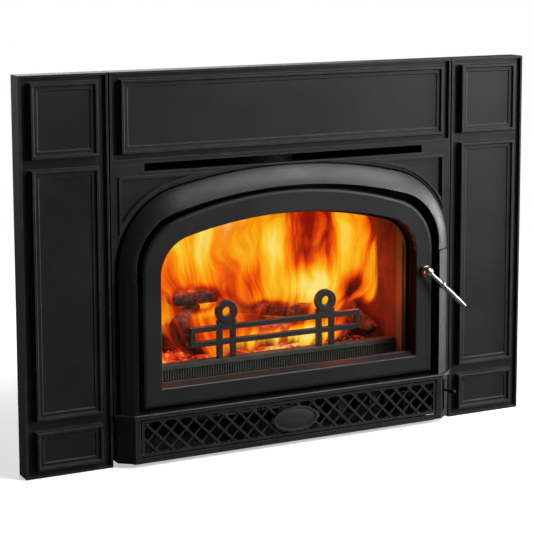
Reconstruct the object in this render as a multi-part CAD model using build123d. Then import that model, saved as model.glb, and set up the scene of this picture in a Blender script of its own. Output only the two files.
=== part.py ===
from build123d import *
import math
import os

# A cast-iron fireplace insert with its surround, made to stand in a fireplace opening.
# Frame: X to the right as one faces the fire, Y into the chimney, Z up. The origin is on
# the underside of the base pan, under the middle of the front, and Y = 0 is the plane of
# the fireplace facing, which the back of the surround touches. Sizes are millimetres.

# ---------------------------------------------------------------- surround
SURROUND_WIDTH = 1054
SURROUND_HEIGHT = 724
SURROUND_DEPTH = 40
SURROUND_WALL = 5
SURROUND_FACE = 9
SEAM_X = 361  # the side panels meet the header and the insert here
HEADER_Z = 557  # underside of the header
SEAM_GAP = 3  # open seam between the header and a side panel
PANEL_BORDER = 4  # flat rim outside the grooves
GROOVE_EXTRA = 6  # more width of the grooves beside a moulding than over it
MOULDING_GROOVE = 9  # from the rim to the foot of the bead, over a moulding
MOULDING_SINK = 6
MOULDING_SLOPE = 2
MOULDING_RISE = 6
MOULDING_CREST = 3.5
MOULDING_COVE = 2.5
MOULDING_STEP = 8
STEP_RISE = 2
BAND_LOW_Z = 95  # joints between the three stacked mouldings of a side panel
BAND_HIGH_Z = 566

# ---------------------------------------------------------------- insert front
FRONT_Y = -SURROUND_DEPTH  # face of the front plate, flush with the surround
FRAME_FRONT_Y = -30
FRAME_THICK = 10
FRAME_HALF = 352
FRAME_TOP_Z = 540
PLATE_HALF = 358
SLOT_HALF = 293
SLOT_Z = 542  # lower lip of the hot-air slot
BEAD_RISE = 3
BEAD_WIDTH = 4.5
BEAD_TOP_Z = 535
BEAD_SIDE_X = 343
BEAD_OFFSET = 9  # from the hood to the arc bead
FIELD_SINK = 3
FIT = 0.5  # joint between neighbouring castings
HOOD_GAP = 4  # open joint round the hood and the columns
HOOD_JOINT = 1.5  # open joint between the hood and a column

# Three-centred arches: half width, crown height, crown radius, corner radius.
HOOD_OUTER = (348, 537, 1000, 150)
HOOD_INNER = (320, 502, 900, 110)
DOOR_OUTLINE = (308, 493, 750, 105)
GLASS_OPENING = (270, 449, 820, 74)

HOOD_BASE_Y = -46
HOOD_FOOT_Z = 349
HOOD_STEPS = ((8, 6.8), (20, 14.5), (38, 22.5))  # inset from the outer edge, rise off the base
COLUMN_PROUD = 3
BASE_TOP_Z = 99

# ---------------------------------------------------------------- base casting and grille
BASE_BOTTOM_Z = 8
LIP_THICK = 8
LIP_HALF = 329
LIP_FRONT_Y = -70
RETURN_HALF = 358.5
RETURN_Y = -46
LIP_OVERHANG = 4
LIP_CHAMFER = 1.5
BASE_WALL = 5
RAIL_TOP_Z = 17.5
GRILLE_HALF = 314
GRILLE_GAP = 2.5
GRILLE_THICK = 6
GRILLE_BAR = 4.5
GRILLE_BOTTOM_Z = 20
GRILLE_TOP_Z = 87.5
GRILLE_AXIS_Z = 24
GRILLE_PIN_R = 2.5
LATTICE_PITCH = 31
LATTICE_BARS = (4.2, 3.4)  # the falling bars and the lower rising ones
BADGE_HALF_X = 47
BADGE_HALF_Z = 24
BADGE_Z = 52
RUNNING = 0.05  # radial clearance of a shaft in its hole
PRESSED = 0.02  # radial clearance of a pin or bush that stays in its hole

# ---------------------------------------------------------------- door
DOOR_THICK = 25
DOOR_STANDOFF = 5  # from the front frame to the back of the shut door
DOOR_FOOT_Z = 106
DOOR_EDGE = ((0, 4), (2.5, 1.2), (7, 0))  # rounded edge: inset, fall behind the face
SILL_FRONT_Z = 140
SILL_BACK_Z = 148
REBATE = 8
REBATE_DEPTH = 10
GLASS_THICK = 5
GLASS_PLAY = 1
TAPE_THICK = 2
ROPE_WALL = 0.5  # left between the rebate and the groove
ROPE_WIDTH = 6
ROPE_SINK = 5
ROPE_CLEAR = 0.3
HINGE_INSET = 8  # of the hinge axis from the door's edge and from its face
HINGE_ZS = (170, 330)
HINGE_PIN_R = 3
KNUCKLE_R = 5
KNUCKLE_HALF = 20
POCKET_HALF = 22
POCKET_SKIN = 2.5
POCKET_WIDTH = 20
PIN_BITE = 12

# ---------------------------------------------------------------- handle and latch
HANDLE_INSET = 17  # of the handle from the door's edge
HANDLE_Z = 310
HANDLE_ANGLE = 45  # below level, as it hangs
HANDLE_SHAFT_R = 4
HANDLE_BUSH_R = 6
HUB_R = 11
HUB_LENGTH = 22
ARM_R = 4.2
ARM_LENGTH = 103
ARM_LEAN = 19
GRIP_START = 35
GRIP_R = 5.5
COLLAR_R = 7.5
CAM_REACH = 26
CAM_WIDTH = 8
CAM_THICK = 3.7
CAM_LEAD = 25  # angle from the latched place to the rest place

# ---------------------------------------------------------------- air control
LEVER_X = 336.5
LEVER_Y = -24
LEVER_Z = 60
LEVER_REST = 7
LEVER_ROD_R = 2.5
LEVER_REACH = 70
LEVER_SHAFT_R = 4
LEVER_SLOT_WIDTH = 7
LEVER_SLOT_Z = (24, 86)
CRANK_REACH = 20
CRANK_X = 246
SHUTTER_X = (240, 280)
SHUTTER_Z = (50, 78)
AIR_BOX_Y = (4, 60)

# ---------------------------------------------------------------- body
BODY_HALF = 322
BODY_BACK_Y = 268
SHEET = 2
PAN_THICK = 3
PAN_FRONT_Y = -45
CASING_TOP_Z = 556.5
SHELL_HALF = 293
SHELL_WALL = 6
SHELL_BACK_Y = 228
SHELL_FLOOR_Z = 104
SHELL_TOP_Z = 508
BRICK = 25
BRICK_TOP_Z = 434
BACK_BRICK = 32
CHEEK_DEPTH = 22
BRICK_JOINT = 1
DAM_FRONT_Y = 4
DAM_DEPTH = 20
DAM_HEIGHT = 31
DAM_CAP = 9
DAM_RIB_PITCH = 5.2
BAFFLE_THICK = 18
FLUE_Y = 120
FLUE_R = 76.2
FLUE_WALL = 4
FLUE_HEIGHT = 96
FLUE_FLANGE = 22

# ---------------------------------------------------------------- log retainer and fire
RING_X = 107
RING_Z = 255
RING_R = 22
RING_HOLE_R = 9.5
POST_APART = 28
RAIL_HALF = 183
RAIL_ZS = (197, 225)
BAR = 10
EMBER_DEPTH = 20
LOG_RS = (30, 27, 18, 20)  # back, front and crossing logs, then the top and leaning ones
LOG_YS = (145, 76)
LOG_CLEAR = 0.3
LEAN_FOOT = (238, 52)  # X and Y of the foot of the leaning log
LEAN_DRIFT = -0.65  # its run along X for each unit into the fire
LEAN_PAST = 20  # how far it reaches past the middle of the back log

# ---------------------------------------------------------------- blower
ROTOR_Y = 100
ROTOR_Z = 52
ROTOR_R = 30
ROTOR_HALF = 148
BLADE_COUNT = 24
BLOWER_SHAFT_R = 4
ROTOR_APART = 8  # from the rotor to the outside of the scroll
BUSH_R = 6
HOUSING_PLAY = 6  # from the end of the rotor to the end of the housing
MOTOR_R = 28
MOTOR_APART = 6
MOTOR_LENGTH = 50
CONTROL_Y = -22  # face of the fan control's plate
KNOB_X = 188
KNOB_Z = 54
KNOB_R = 10
KNOB_SHAFT_R = 3

GLAND_PLACE = (150, 40)  # Y and Z of the power inlet in the left casing sheet
GLAND_R = 8
GLAND_CORD_R = 4

# ---------------------------------------------------------------- fasteners
SCREW_R = 3
SCREW_HEAD_R = 5
SCREW_HEAD = 4
SCREW_PLAY = 0.2
SCREW_BITE = 6

FLOOR_BRICK_TOP_Z = SHELL_FLOOR_Z + SHELL_WALL + BRICK
SCROLL_R = ROTOR_R + ROTOR_APART
SHELL_INNER = SHELL_HALF - SHELL_WALL
BRICK_FACE = SHELL_INNER - BRICK
FRAME_BACK_Y = FRAME_FRONT_Y + FRAME_THICK
DOOR_BACK_Y = FRAME_FRONT_Y - DOOR_STANDOFF
DOOR_FRONT_Y = DOOR_BACK_Y - DOOR_THICK
HINGE_X = HINGE_INSET - DOOR_OUTLINE[0]
HINGE_Y = DOOR_FRONT_Y + HINGE_INSET
HANDLE_X = DOOR_OUTLINE[0] - HANDLE_INSET
BACK_BRICK_Y = SHELL_BACK_Y - SHELL_WALL - BACK_BRICK


def block(xs, ys, zs):
    """A rectangular block between pairs of limits."""
    size = (xs[1] - xs[0], ys[1] - ys[0], zs[1] - zs[0])
    centre = ((xs[0] + xs[1]) / 2, (ys[0] + ys[1]) / 2, (zs[0] + zs[1]) / 2)
    return Pos(*centre) * Box(*size)


def mirrored(xs):
    """A pair of X limits on the other side of the middle."""
    return (-xs[1], -xs[0])


def rod(start, end, radius):
    """A round bar from one point to another."""
    run = Vector(*end) - Vector(*start)
    base = Plane(origin=start, z_dir=run)
    return base * Cylinder(radius, run.length, align=(Align.CENTER, Align.CENTER, Align.MIN))


def wall_plane(y):
    """The upright plane at a depth, facing the viewer, with X and Z as its own axes."""
    return Plane(origin=(0, y, 0), x_dir=(1, 0, 0), z_dir=(0, -1, 0))


def arch_sketch(arch, grow, foot):
    """A three-centred arch on straight legs that stand at foot, grown outwards by grow."""
    half, crown, crown_r, corner_r = arch
    low = crown - crown_r
    side = half - corner_r
    spring = low + math.sqrt((crown_r - corner_r) ** 2 - side**2)
    lean = math.degrees(math.atan2(spring - low, side))
    edges = [
        CenterArc((side, spring), corner_r + grow, 0, lean),
        CenterArc((0, low), crown_r + grow, lean, 180 - 2 * lean),
        CenterArc((-side, spring), corner_r + grow, 180 - lean, lean),
        Line((-half - grow, spring), (-half - grow, foot)),
        Line((-half - grow, foot), (half + grow, foot)),
        Line((half + grow, foot), (half + grow, spring)),
    ]
    return make_face(edges)


def arch_block(arch, grow, foot, front_y, back_y):
    """The solid under an arch between two depths."""
    return extrude(wall_plane(back_y) * arch_sketch(arch, grow, foot), back_y - front_y)


def arch_taper(arch, foot, sections):
    """A solid under an arch whose outline shrinks through (inset, foot lift, depth) sections."""
    steps = []
    for (inset, lift, y), (next_inset, next_lift, next_y) in zip(sections, sections[1:]):
        back = wall_plane(y) * arch_sketch(arch, -inset, foot + lift)
        front = wall_plane(next_y) * arch_sketch(arch, -next_inset, foot + next_lift)
        steps.append(loft([back, front], ruled=True))
    return steps[0] + steps[1:] if len(steps) > 1 else steps[0]


def plate_sketch(xs, zs):
    """A rectangle in X and Z."""
    return Pos((xs[0] + xs[1]) / 2, (zs[0] + zs[1]) / 2) * Rectangle(xs[1] - xs[0], zs[1] - zs[0])


def rect_taper(xs, zs, sections):
    """A block whose X and Z limits shrink through (inset, depth) sections."""
    steps = []
    for (inset, y), (next_inset, next_y) in zip(sections, sections[1:]):
        back = plate_sketch((xs[0] + inset, xs[1] - inset), (zs[0] + inset, zs[1] - inset))
        front = plate_sketch(
            (xs[0] + next_inset, xs[1] - next_inset), (zs[0] + next_inset, zs[1] - next_inset)
        )
        steps.append(loft([wall_plane(y) * back, wall_plane(next_y) * front], ruled=True))
    return steps[0] + steps[1:] if len(steps) > 1 else steps[0]


# ================================================================ surround
def moulding(xs, zs):
    """A raised bead on the face of a panel, with a step inside it."""
    foot_y = FRONT_Y + MOULDING_SINK
    height = MOULDING_RISE + MOULDING_SINK
    ovolo = []
    for turn in (math.radians(30 * k) for k in range(4)):
        inset = MOULDING_GROOVE + MOULDING_SLOPE * (1 - math.cos(turn))
        ovolo.append((inset, foot_y - height * math.sin(turn)))
    crest_in = MOULDING_GROOVE + MOULDING_SLOPE + MOULDING_CREST
    step_in = crest_in + MOULDING_STEP
    top_y = FRONT_Y - MOULDING_RISE
    step_y = FRONT_Y - STEP_RISE
    cove = rect_taper(xs, zs, [(crest_in + MOULDING_COVE, step_y), (crest_in, top_y - 1)])
    field = rect_taper(xs, zs, [(step_in + STEP_RISE, FRONT_Y), (step_in, step_y - 1)])
    return rect_taper(xs, zs, ovolo) - cove - field


def moulding_groove(xs, zs):
    """The groove between the flat rim of a panel and the foot of its bead."""
    foot_y = FRONT_Y + MOULDING_SINK
    trench = block((xs[0] - GROOVE_EXTRA, xs[1] + GROOVE_EXTRA), (FRONT_Y - 1, foot_y), zs)
    island_x = (xs[0] + MOULDING_GROOVE, xs[1] - MOULDING_GROOVE)
    island_z = (zs[0] + MOULDING_GROOVE, zs[1] - MOULDING_GROOVE)
    return trench - block(island_x, (FRONT_Y - 2, foot_y + 1), island_z)


def surround_bolt_points():
    """Where the header's end flanges are bolted to the side panels."""
    return [(-18, HEADER_Z + 40), (-18, SURROUND_HEIGHT - 34)]


def bracket_bolt_points():
    """Where the side panels are bolted to the insert's brackets."""
    return [(-9, 200), (-9, 430)]


def panel_shell(xs, zs, flange_back=0.0):
    """A shallow cast tray, open at the back, with its face on the front plane."""
    inner_x = (xs[0] + SURROUND_WALL, xs[1] - SURROUND_WALL)
    inner_z = (zs[0] + SURROUND_WALL, zs[1] - SURROUND_WALL)
    tray = block(xs, (FRONT_Y, flange_back), zs)
    return tray - block(inner_x, (FRONT_Y + SURROUND_FACE, flange_back + 1), inner_z)


def side_panel(sign):
    """One side panel, with three stacked mouldings."""
    outer = SURROUND_WIDTH / 2
    panel = panel_shell((SEAM_X, outer), (0, SURROUND_HEIGHT))
    side = PANEL_BORDER + GROOVE_EXTRA
    mould_x = (SEAM_X + side, outer - side)
    bands = [PANEL_BORDER, BAND_LOW_Z, BAND_HIGH_Z, SURROUND_HEIGHT - PANEL_BORDER]
    panel -= [moulding_groove(mould_x, zs) for zs in zip(bands, bands[1:])]
    panel += [moulding(mould_x, zs) for zs in zip(bands, bands[1:])]
    for y, z in surround_bolt_points() + bracket_bolt_points():
        panel -= rod((SEAM_X - 1, y, z), (SEAM_X + SURROUND_WALL + 1, y, z), SCREW_R + SCREW_PLAY)
    return panel if sign > 0 else mirror(panel, Plane.YZ)


def header_panel():
    """The top panel between the side panels, with one long moulding."""
    half = SEAM_X - SEAM_GAP
    panel = panel_shell((-half, half), (HEADER_Z, SURROUND_HEIGHT))
    side = PANEL_BORDER + GROOVE_EXTRA
    mould_x = (side - half, half - side)
    mould_z = (BAND_HIGH_Z, SURROUND_HEIGHT - PANEL_BORDER)
    panel -= moulding_groove(mould_x, mould_z)
    panel += moulding(mould_x, mould_z)
    for y, z in surround_bolt_points():
        panel -= rod((-SEAM_X - 9, y, z), (SEAM_X + 9, y, z), SCREW_R + SCREW_PLAY)
    return panel


def flange_bolt(x_head, x_nut, y, z):
    """A bolt through two flanges from x_head to x_nut, with its nut."""
    way = 1 if x_nut > x_head else -1
    head = rod((x_head - way * SCREW_HEAD, y, z), (x_head, y, z), SCREW_HEAD_R)
    nut_plane = Plane(origin=(x_nut, y, z), z_dir=(way, 0, 0))
    nut = extrude(nut_plane * RegularPolygon(SCREW_HEAD_R, 6), SCREW_HEAD)
    return head + rod((x_head, y, z), (x_nut + way * SCREW_HEAD, y, z), SCREW_R) + nut


def surround_bolts():
    """The bolts that hold header, side panels and brackets together."""
    bolts = []
    outer = SEAM_X + SURROUND_WALL
    for way in (-1, 1):
        for y, z in surround_bolt_points():
            inner = SEAM_X - SEAM_GAP - SURROUND_WALL
            bolts.append(flange_bolt(way * outer, way * inner, y, z))
        for y, z in bracket_bolt_points():
            bolts.append(flange_bolt(way * outer, way * (SEAM_X - SURROUND_WALL), y, z))
    return bolts


def surround_brackets():
    """Four bent tabs from the back of the front frame to the side panels."""
    tabs = []
    for y, z in bracket_bolt_points():
        zs = (z - 15, z + 15)
        wing = block((BODY_HALF + 2, SEAM_X), (FRAME_BACK_Y, FRAME_BACK_Y + SURROUND_WALL), zs)
        tab = block((SEAM_X - SURROUND_WALL, SEAM_X), (FRAME_BACK_Y, -1), zs)
        hole = rod((SEAM_X - 9, y, z), (SEAM_X + 1, y, z), SCREW_R + SCREW_PLAY)
        tabs.append(wing + tab - hole)
    return tabs + [mirror(tab, Plane.YZ) for tab in tabs]


# ================================================================ insert front
def frame_screw_points():
    """Where the front castings are screwed to the frame from behind, by casting."""
    column = [(334, 140), (334, 290)]
    hood = [(334, 372), (225, 498)]
    plate = [(353.5 - 9, 470), (250, 527)]
    return {"column": column, "hood": hood, "plate": plate}


def screw_holes(points, front_y, back_y):
    """Holes for the frame screws at points on both sides."""
    holes = []
    for x, z in points:
        for side in (-x, x):
            holes.append(rod((side, back_y, z), (side, front_y, z), SCREW_R + SCREW_PLAY))
    return holes


def frame_screws():
    """The cap screws that hold the front castings to the frame."""
    screws = []
    for points in frame_screw_points().values():
        for x, z in points:
            for side in (-x, x):
                tip = (side, FRAME_FRONT_Y - SCREW_BITE + 0.5, z)
                seat = (side, FRAME_BACK_Y, z)
                end = (side, FRAME_BACK_Y + SCREW_HEAD, z)
                screws.append(rod(tip, seat, SCREW_R) + rod(seat, end, SCREW_HEAD_R))
    return screws


def front_frame():
    """The plate behind the front castings, with the door aperture and lips to the casing."""
    ys = (FRAME_FRONT_Y, FRAME_BACK_Y)
    frame = block((-FRAME_HALF, FRAME_HALF), ys, (BASE_TOP_Z, FRAME_TOP_Z))
    frame -= arch_block(GLASS_OPENING, -6, SILL_FRONT_Z - 8, ys[0] - 1, ys[1] + 1)
    lip_x = (BODY_HALF - SHEET - 4, BODY_HALF - SHEET)
    for xs in (lip_x, mirrored(lip_x)):
        frame += block(xs, (FRAME_BACK_Y, 12), (BASE_TOP_Z + 6, FRAME_TOP_Z))
    for points in frame_screw_points().values():
        frame -= screw_holes(points, FRAME_FRONT_Y - 1, FRAME_BACK_Y + 1)
    return frame


def spandrel(half, top, grow):
    """The corners between the hood and a rectangle, as a sketch."""
    corner = plate_sketch((-half, half), (HOOD_FOOT_Z, top))
    return corner - arch_sketch(HOOD_OUTER, grow, HOOD_FOOT_Z - 50)


def front_top_plate():
    """The casting over and beside the hood: hot-air slot, beads and sunk spandrels."""
    outline = plate_sketch((-PLATE_HALF, PLATE_HALF), (BASE_TOP_Z + 0.3, HEADER_Z - FIT))
    outline -= arch_sketch(HOOD_OUTER, HOOD_GAP, BASE_TOP_Z - 20)
    outline -= plate_sketch((-SLOT_HALF, SLOT_HALF), (SLOT_Z, HEADER_Z + 5))
    plate = extrude(wall_plane(FRAME_FRONT_Y) * outline, FRAME_FRONT_Y - FRONT_Y)
    outer = spandrel(BEAD_SIDE_X, BEAD_TOP_Z, BEAD_OFFSET)
    inner = spandrel(BEAD_SIDE_X - BEAD_WIDTH, BEAD_TOP_Z - BEAD_WIDTH, BEAD_OFFSET + BEAD_WIDTH)
    plate += extrude(wall_plane(FRONT_Y) * (outer - inner), BEAD_RISE)
    plate -= extrude(wall_plane(FRONT_Y + FIELD_SINK) * inner, FIELD_SINK + 1)
    lip = plate_sketch((-SLOT_HALF - 3, SLOT_HALF + 3), (SLOT_Z - 3, SLOT_Z))
    plate += extrude(wall_plane(FRONT_Y) * lip, 1.2)
    return plate - screw_holes(
        frame_screw_points()["plate"], FRAME_FRONT_Y - SCREW_BITE, FRAME_FRONT_Y + 1
    )


def arch_hood():
    """The arched hood over the door, sloping forward to its inner edge."""
    foot = HOOD_FOOT_Z - 120
    rise = [(0, 0, FRAME_FRONT_Y), (0, 0, HOOD_BASE_Y)]
    rise += [(inset, 0, HOOD_BASE_Y - up) for inset, up in HOOD_STEPS]
    hood = arch_taper(HOOD_OUTER, foot, rise)
    hood -= arch_block(HOOD_INNER, 0, foot - 10, HOOD_BASE_Y - 40, FRAME_FRONT_Y + 1)
    hood -= block((-400, 400), (-120, 0), (foot - 20, HOOD_FOOT_Z + HOOD_JOINT))
    return hood - screw_holes(
        frame_screw_points()["hood"], FRAME_FRONT_Y - SCREW_BITE, FRAME_FRONT_Y + 1
    )


def column(sign):
    """One column beside the door, a little prouder than the hood, with a bowed top."""
    outer = HOOD_OUTER[0]
    inner = HOOD_INNER[0]
    front = HOOD_BASE_Y - COLUMN_PROUD
    width = outer - inner
    points = [(outer, FRAME_FRONT_Y), (outer, front)]
    points += [(outer - inset, front - up) for inset, up in HOOD_STEPS[:2]]
    (inset, up), (last_inset, last_up) = HOOD_STEPS[1:]
    share = (width - inset) / (last_inset - inset)
    points += [(inner, front - up - share * (last_up - up)), (inner, FRAME_FRONT_Y)]
    profile = make_face(Polyline(*points, close=True))
    bar = extrude(Plane.XY.offset(BASE_TOP_Z + 0.3) * profile, HOOD_FOOT_Z - BASE_TOP_Z - 0.3)
    bow_r = 60
    middle = ((outer + inner) / 2, HOOD_FOOT_Z - bow_r)
    bow = Pos(middle[0], -60, middle[1]) * Rot(90, 0, 0) * Cylinder(bow_r, 120)
    cap = block((inner - 1, outer + 1), (-120, 0), (HOOD_FOOT_Z - 8, HOOD_FOOT_Z + 1))
    bar -= cap - bow
    bar -= screw_holes(
        frame_screw_points()["column"], FRAME_FRONT_Y - SCREW_BITE, FRAME_FRONT_Y + 1
    )
    return bar if sign > 0 else mirror(bar, Plane.YZ)


# ================================================================ base casting and grille
def base_plan(inset, back_y):
    """The plan of the base, square behind and splayed at its front corners."""
    side = RETURN_HALF - inset
    front = LIP_FRONT_Y + inset
    corner = RETURN_Y + inset * 0.4
    nose = LIP_HALF - inset * 0.5
    points = [(side, back_y), (side, corner), (nose, front)]
    points += [(-x, y) for x, y in reversed(points)]
    return make_face(Polyline(*points, close=True))


def base_casting():
    """The ash lip and the box under it, with the grille window and the lever slot."""
    lip = extrude(Plane.XY.offset(BASE_TOP_Z - LIP_THICK) * base_plan(0, 0), LIP_THICK)
    top_edges = lip.edges().filter_by(Axis.Y, reverse=True).group_by(Axis.Z)[-1]
    lip = chamfer(top_edges.sort_by(Axis.Y)[:3], LIP_CHAMFER)
    wall_height = BASE_TOP_Z - LIP_THICK - BASE_BOTTOM_Z
    outside = extrude(Plane.XY.offset(BASE_BOTTOM_Z) * base_plan(LIP_OVERHANG, 0), wall_height)
    inner_plan = base_plan(LIP_OVERHANG + BASE_WALL, 1)
    inside = extrude(Plane.XY.offset(BASE_BOTTOM_Z - 1) * inner_plan, wall_height + 1)
    window_x = GRILLE_HALF + GRILLE_GAP
    front_y = LIP_FRONT_Y + LIP_OVERHANG
    window_z = (RAIL_TOP_Z, GRILLE_TOP_Z + GRILLE_GAP)
    base = lip + (outside - inside)
    foot = block((-300, 300), (front_y + 1, PAN_FRONT_Y + 12), (BASE_BOTTOM_Z, RAIL_TOP_Z - 4))
    base += foot + block((-300, 300), (PAN_FRONT_Y, PAN_FRONT_Y + 12), (PAN_THICK, BASE_BOTTOM_Z))
    post_y = (front_y, front_y + 10)
    post_x = (window_x, window_x + 9)
    for xs in (post_x, mirrored(post_x)):
        base += block(xs, post_y, (BASE_BOTTOM_Z, BASE_TOP_Z - LIP_THICK))
    base -= block((-window_x, window_x), (front_y - 1, front_y + 11), window_z)
    for way in (-1, 1):
        pin_end = (way * (window_x + 7.5), front_y + 4, GRILLE_AXIS_Z)
        base -= rod((0, front_y + 4, GRILLE_AXIS_Z), pin_end, GRILLE_PIN_R + RUNNING)
    web_x = (BODY_HALF - SHEET, RETURN_HALF - LIP_OVERHANG - BASE_WALL + 1)
    for xs in (web_x, mirrored(web_x)):
        base += block(xs, (-BASE_WALL - 1, -1), (PAN_THICK, BASE_TOP_Z - LIP_THICK))
    for x in (272, 316):
        base += block((x, x + 7), (LEVER_Y - 7, LEVER_Y + 7), (LEVER_Z - 9, BASE_TOP_Z - LIP_THICK))
    base -= rod((260, LEVER_Y, LEVER_Z), (330, LEVER_Y, LEVER_Z), LEVER_SHAFT_R + RUNNING)
    slot_x = (LEVER_X - LEVER_SLOT_WIDTH / 2, LEVER_X + LEVER_SLOT_WIDTH / 2)
    nose = Vector(LIP_HALF - LIP_OVERHANG * 0.5, front_y)
    heel = Vector(RETURN_HALF - LIP_OVERHANG, RETURN_Y + LIP_OVERHANG * 0.4)
    along = (heel - nose).normalized()
    out = Vector(along.Y, -along.X)
    start = nose + along * 5
    end = heel - along * 4
    rim = [start, end, end + out * 1.6, start + out * 1.6]
    rim_face = make_face(Polyline(*[(p.X, p.Y) for p in rim], close=True))
    rim_z = (LEVER_SLOT_Z[0] - 5, LEVER_SLOT_Z[1] + 4)
    base += extrude(Plane.XY.offset(rim_z[0]) * rim_face, rim_z[1] - rim_z[0])
    return base - block(slot_x, (LIP_FRONT_Y - 9, LEVER_Y - 10), LEVER_SLOT_Z)


def grille_lattice():
    """The drop-down grille: a frame filled with crossed diagonal bars."""
    back_y = LIP_FRONT_Y + LIP_OVERHANG + 1 + GRILLE_THICK
    xs = (-GRILLE_HALF, GRILLE_HALF)
    zs = (GRILLE_BOTTOM_Z, GRILLE_TOP_Z)
    inner_x = (xs[0] + GRILLE_BAR, xs[1] - GRILLE_BAR)
    inner_z = (zs[0] + GRILLE_BAR, zs[1] - GRILLE_BAR)
    middle = (zs[0] + zs[1]) / 2
    height = inner_z[1] - inner_z[0]
    count = int((2 * GRILLE_HALF + height) / LATTICE_PITCH) // 2 + 1
    window = plate_sketch(inner_x, inner_z)
    falling = Sketch()
    rising = Sketch()
    for k in range(-count, count + 1):
        bar, thin_bar = (Rectangle(2 * height, width) for width in LATTICE_BARS)
        falling += Pos(k * LATTICE_PITCH, middle) * Rot(0, 0, -45) * bar
        rising += Pos((k + 0.5) * LATTICE_PITCH, middle) * Rot(0, 0, 45) * thin_bar
    badge_pad = Pos(0, BADGE_Z) * Ellipse(BADGE_HALF_X - 3, BADGE_HALF_Z - 3)
    frame = plate_sketch(xs, zs) - window
    grille = extrude(wall_plane(back_y) * frame, GRILLE_THICK)
    grille += extrude(wall_plane(back_y) * (falling & window), GRILLE_THICK - 0.6)
    grille += extrude(wall_plane(back_y) * (rising & window), GRILLE_THICK - 2.5)
    grille += extrude(wall_plane(back_y) * badge_pad, GRILLE_THICK)
    pin_y = LIP_FRONT_Y + LIP_OVERHANG + 4
    for way in (-1, 1):
        tip = (way * (GRILLE_HALF - GRILLE_BAR), pin_y, GRILLE_AXIS_Z)
        grille -= rod(tip, (way * (GRILLE_HALF + 1), pin_y, GRILLE_AXIS_Z), GRILLE_PIN_R + RUNNING)
    return grille


def grille_badge():
    """A bare domed oval with a raised rim and two small ears."""
    seat_y = LIP_FRONT_Y + LIP_OVERHANG + 1
    rim = Pos(0, BADGE_Z) * Ellipse(BADGE_HALF_X, BADGE_HALF_Z)
    ears = Pos(0, BADGE_Z) * RectangleRounded(2 * BADGE_HALF_X + 8, 12, 5)
    badge = extrude(wall_plane(seat_y) * (rim + ears), 3)
    hollow = Pos(0, BADGE_Z) * Ellipse(BADGE_HALF_X - 4, BADGE_HALF_Z - 4)
    badge += extrude(wall_plane(seat_y - 3) * (rim - hollow), 2)
    levels = [(0, 0), (8, 0.9), (20, 1.4)]
    for (inset, up), (next_inset, next_up) in zip(levels, levels[1:]):
        back = Pos(0, BADGE_Z) * Ellipse(BADGE_HALF_X - 5 - inset, BADGE_HALF_Z - 5 - inset / 2)
        front = Pos(0, BADGE_Z) * Ellipse(
            BADGE_HALF_X - 5 - next_inset, BADGE_HALF_Z - 5 - next_inset / 2
        )
        lower = wall_plane(seat_y - 3 - up) * back
        upper = wall_plane(seat_y - 3 - next_up) * front
        badge += loft([lower, upper], ruled=True)
    return badge


# ================================================================ door
def rope_ring(front_y, back_y):
    """The path of the rope seal round the glass opening, between two depths."""
    inner = REBATE + ROPE_WALL
    outer = inner + ROPE_WIDTH
    ring = arch_block(GLASS_OPENING, outer, SILL_FRONT_Z - outer, front_y, back_y)
    return ring - arch_block(GLASS_OPENING, inner, SILL_FRONT_Z - inner, front_y - 1, back_y + 1)


def door_frame():
    """The cast door: arched outline, glass opening with a sloped sill, rebate and hinge pockets."""
    edge = [(0, 0, DOOR_BACK_Y)]
    edge += [(inset, inset, DOOR_FRONT_Y + fall) for inset, fall in DOOR_EDGE]
    door = arch_taper(DOOR_OUTLINE, DOOR_FOOT_Z, edge)
    rebate_y = DOOR_BACK_Y - REBATE_DEPTH
    back = wall_plane(rebate_y + 1) * arch_sketch(GLASS_OPENING, -1, SILL_BACK_Z + 0.5)
    front = wall_plane(DOOR_FRONT_Y + 1.5) * arch_sketch(GLASS_OPENING, 0, SILL_FRONT_Z + 1)
    door -= loft([back, front], ruled=True)
    edge_back = wall_plane(DOOR_FRONT_Y + 1.5) * arch_sketch(GLASS_OPENING, 0, SILL_FRONT_Z + 1)
    edge_front = wall_plane(DOOR_FRONT_Y - 0.5) * arch_sketch(GLASS_OPENING, 2, SILL_FRONT_Z - 1)
    door -= loft([edge_back, edge_front], ruled=True)
    door -= arch_block(GLASS_OPENING, REBATE, SILL_FRONT_Z - REBATE, rebate_y, DOOR_BACK_Y + 1)
    door -= rope_ring(DOOR_BACK_Y - ROPE_SINK, DOOR_BACK_Y + 1)
    for z in HINGE_ZS:
        pocket_x = (-DOOR_OUTLINE[0] - 1, POCKET_WIDTH - DOOR_OUTLINE[0])
        pocket_y = (DOOR_FRONT_Y + POCKET_SKIN, DOOR_BACK_Y + 1)
        door -= block(pocket_x, pocket_y, (z - POCKET_HALF, z + POCKET_HALF))
        reach = POCKET_HALF + PIN_BITE
        ends = [(HINGE_X, HINGE_Y, z + way * reach) for way in (-1, 1)]
        door -= rod(*ends, HINGE_PIN_R + RUNNING)
    ends = [(HANDLE_X, y, HANDLE_Z) for y in (DOOR_FRONT_Y - 1, DOOR_BACK_Y + 1)]
    return door - rod(*ends, HANDLE_BUSH_R + PRESSED)


def glass_layer(grow, front_y, back_y, hole_grow=None):
    """A layer of the glazing, shaped to the glass opening; a ring where hole_grow is given."""
    layer = arch_block(GLASS_OPENING, grow, SILL_FRONT_Z - grow, front_y, back_y)
    if hole_grow is None:
        return layer
    return layer - arch_block(
        GLASS_OPENING, hole_grow, SILL_BACK_Z + 1 - hole_grow, front_y - 1, back_y + 1
    )


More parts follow.
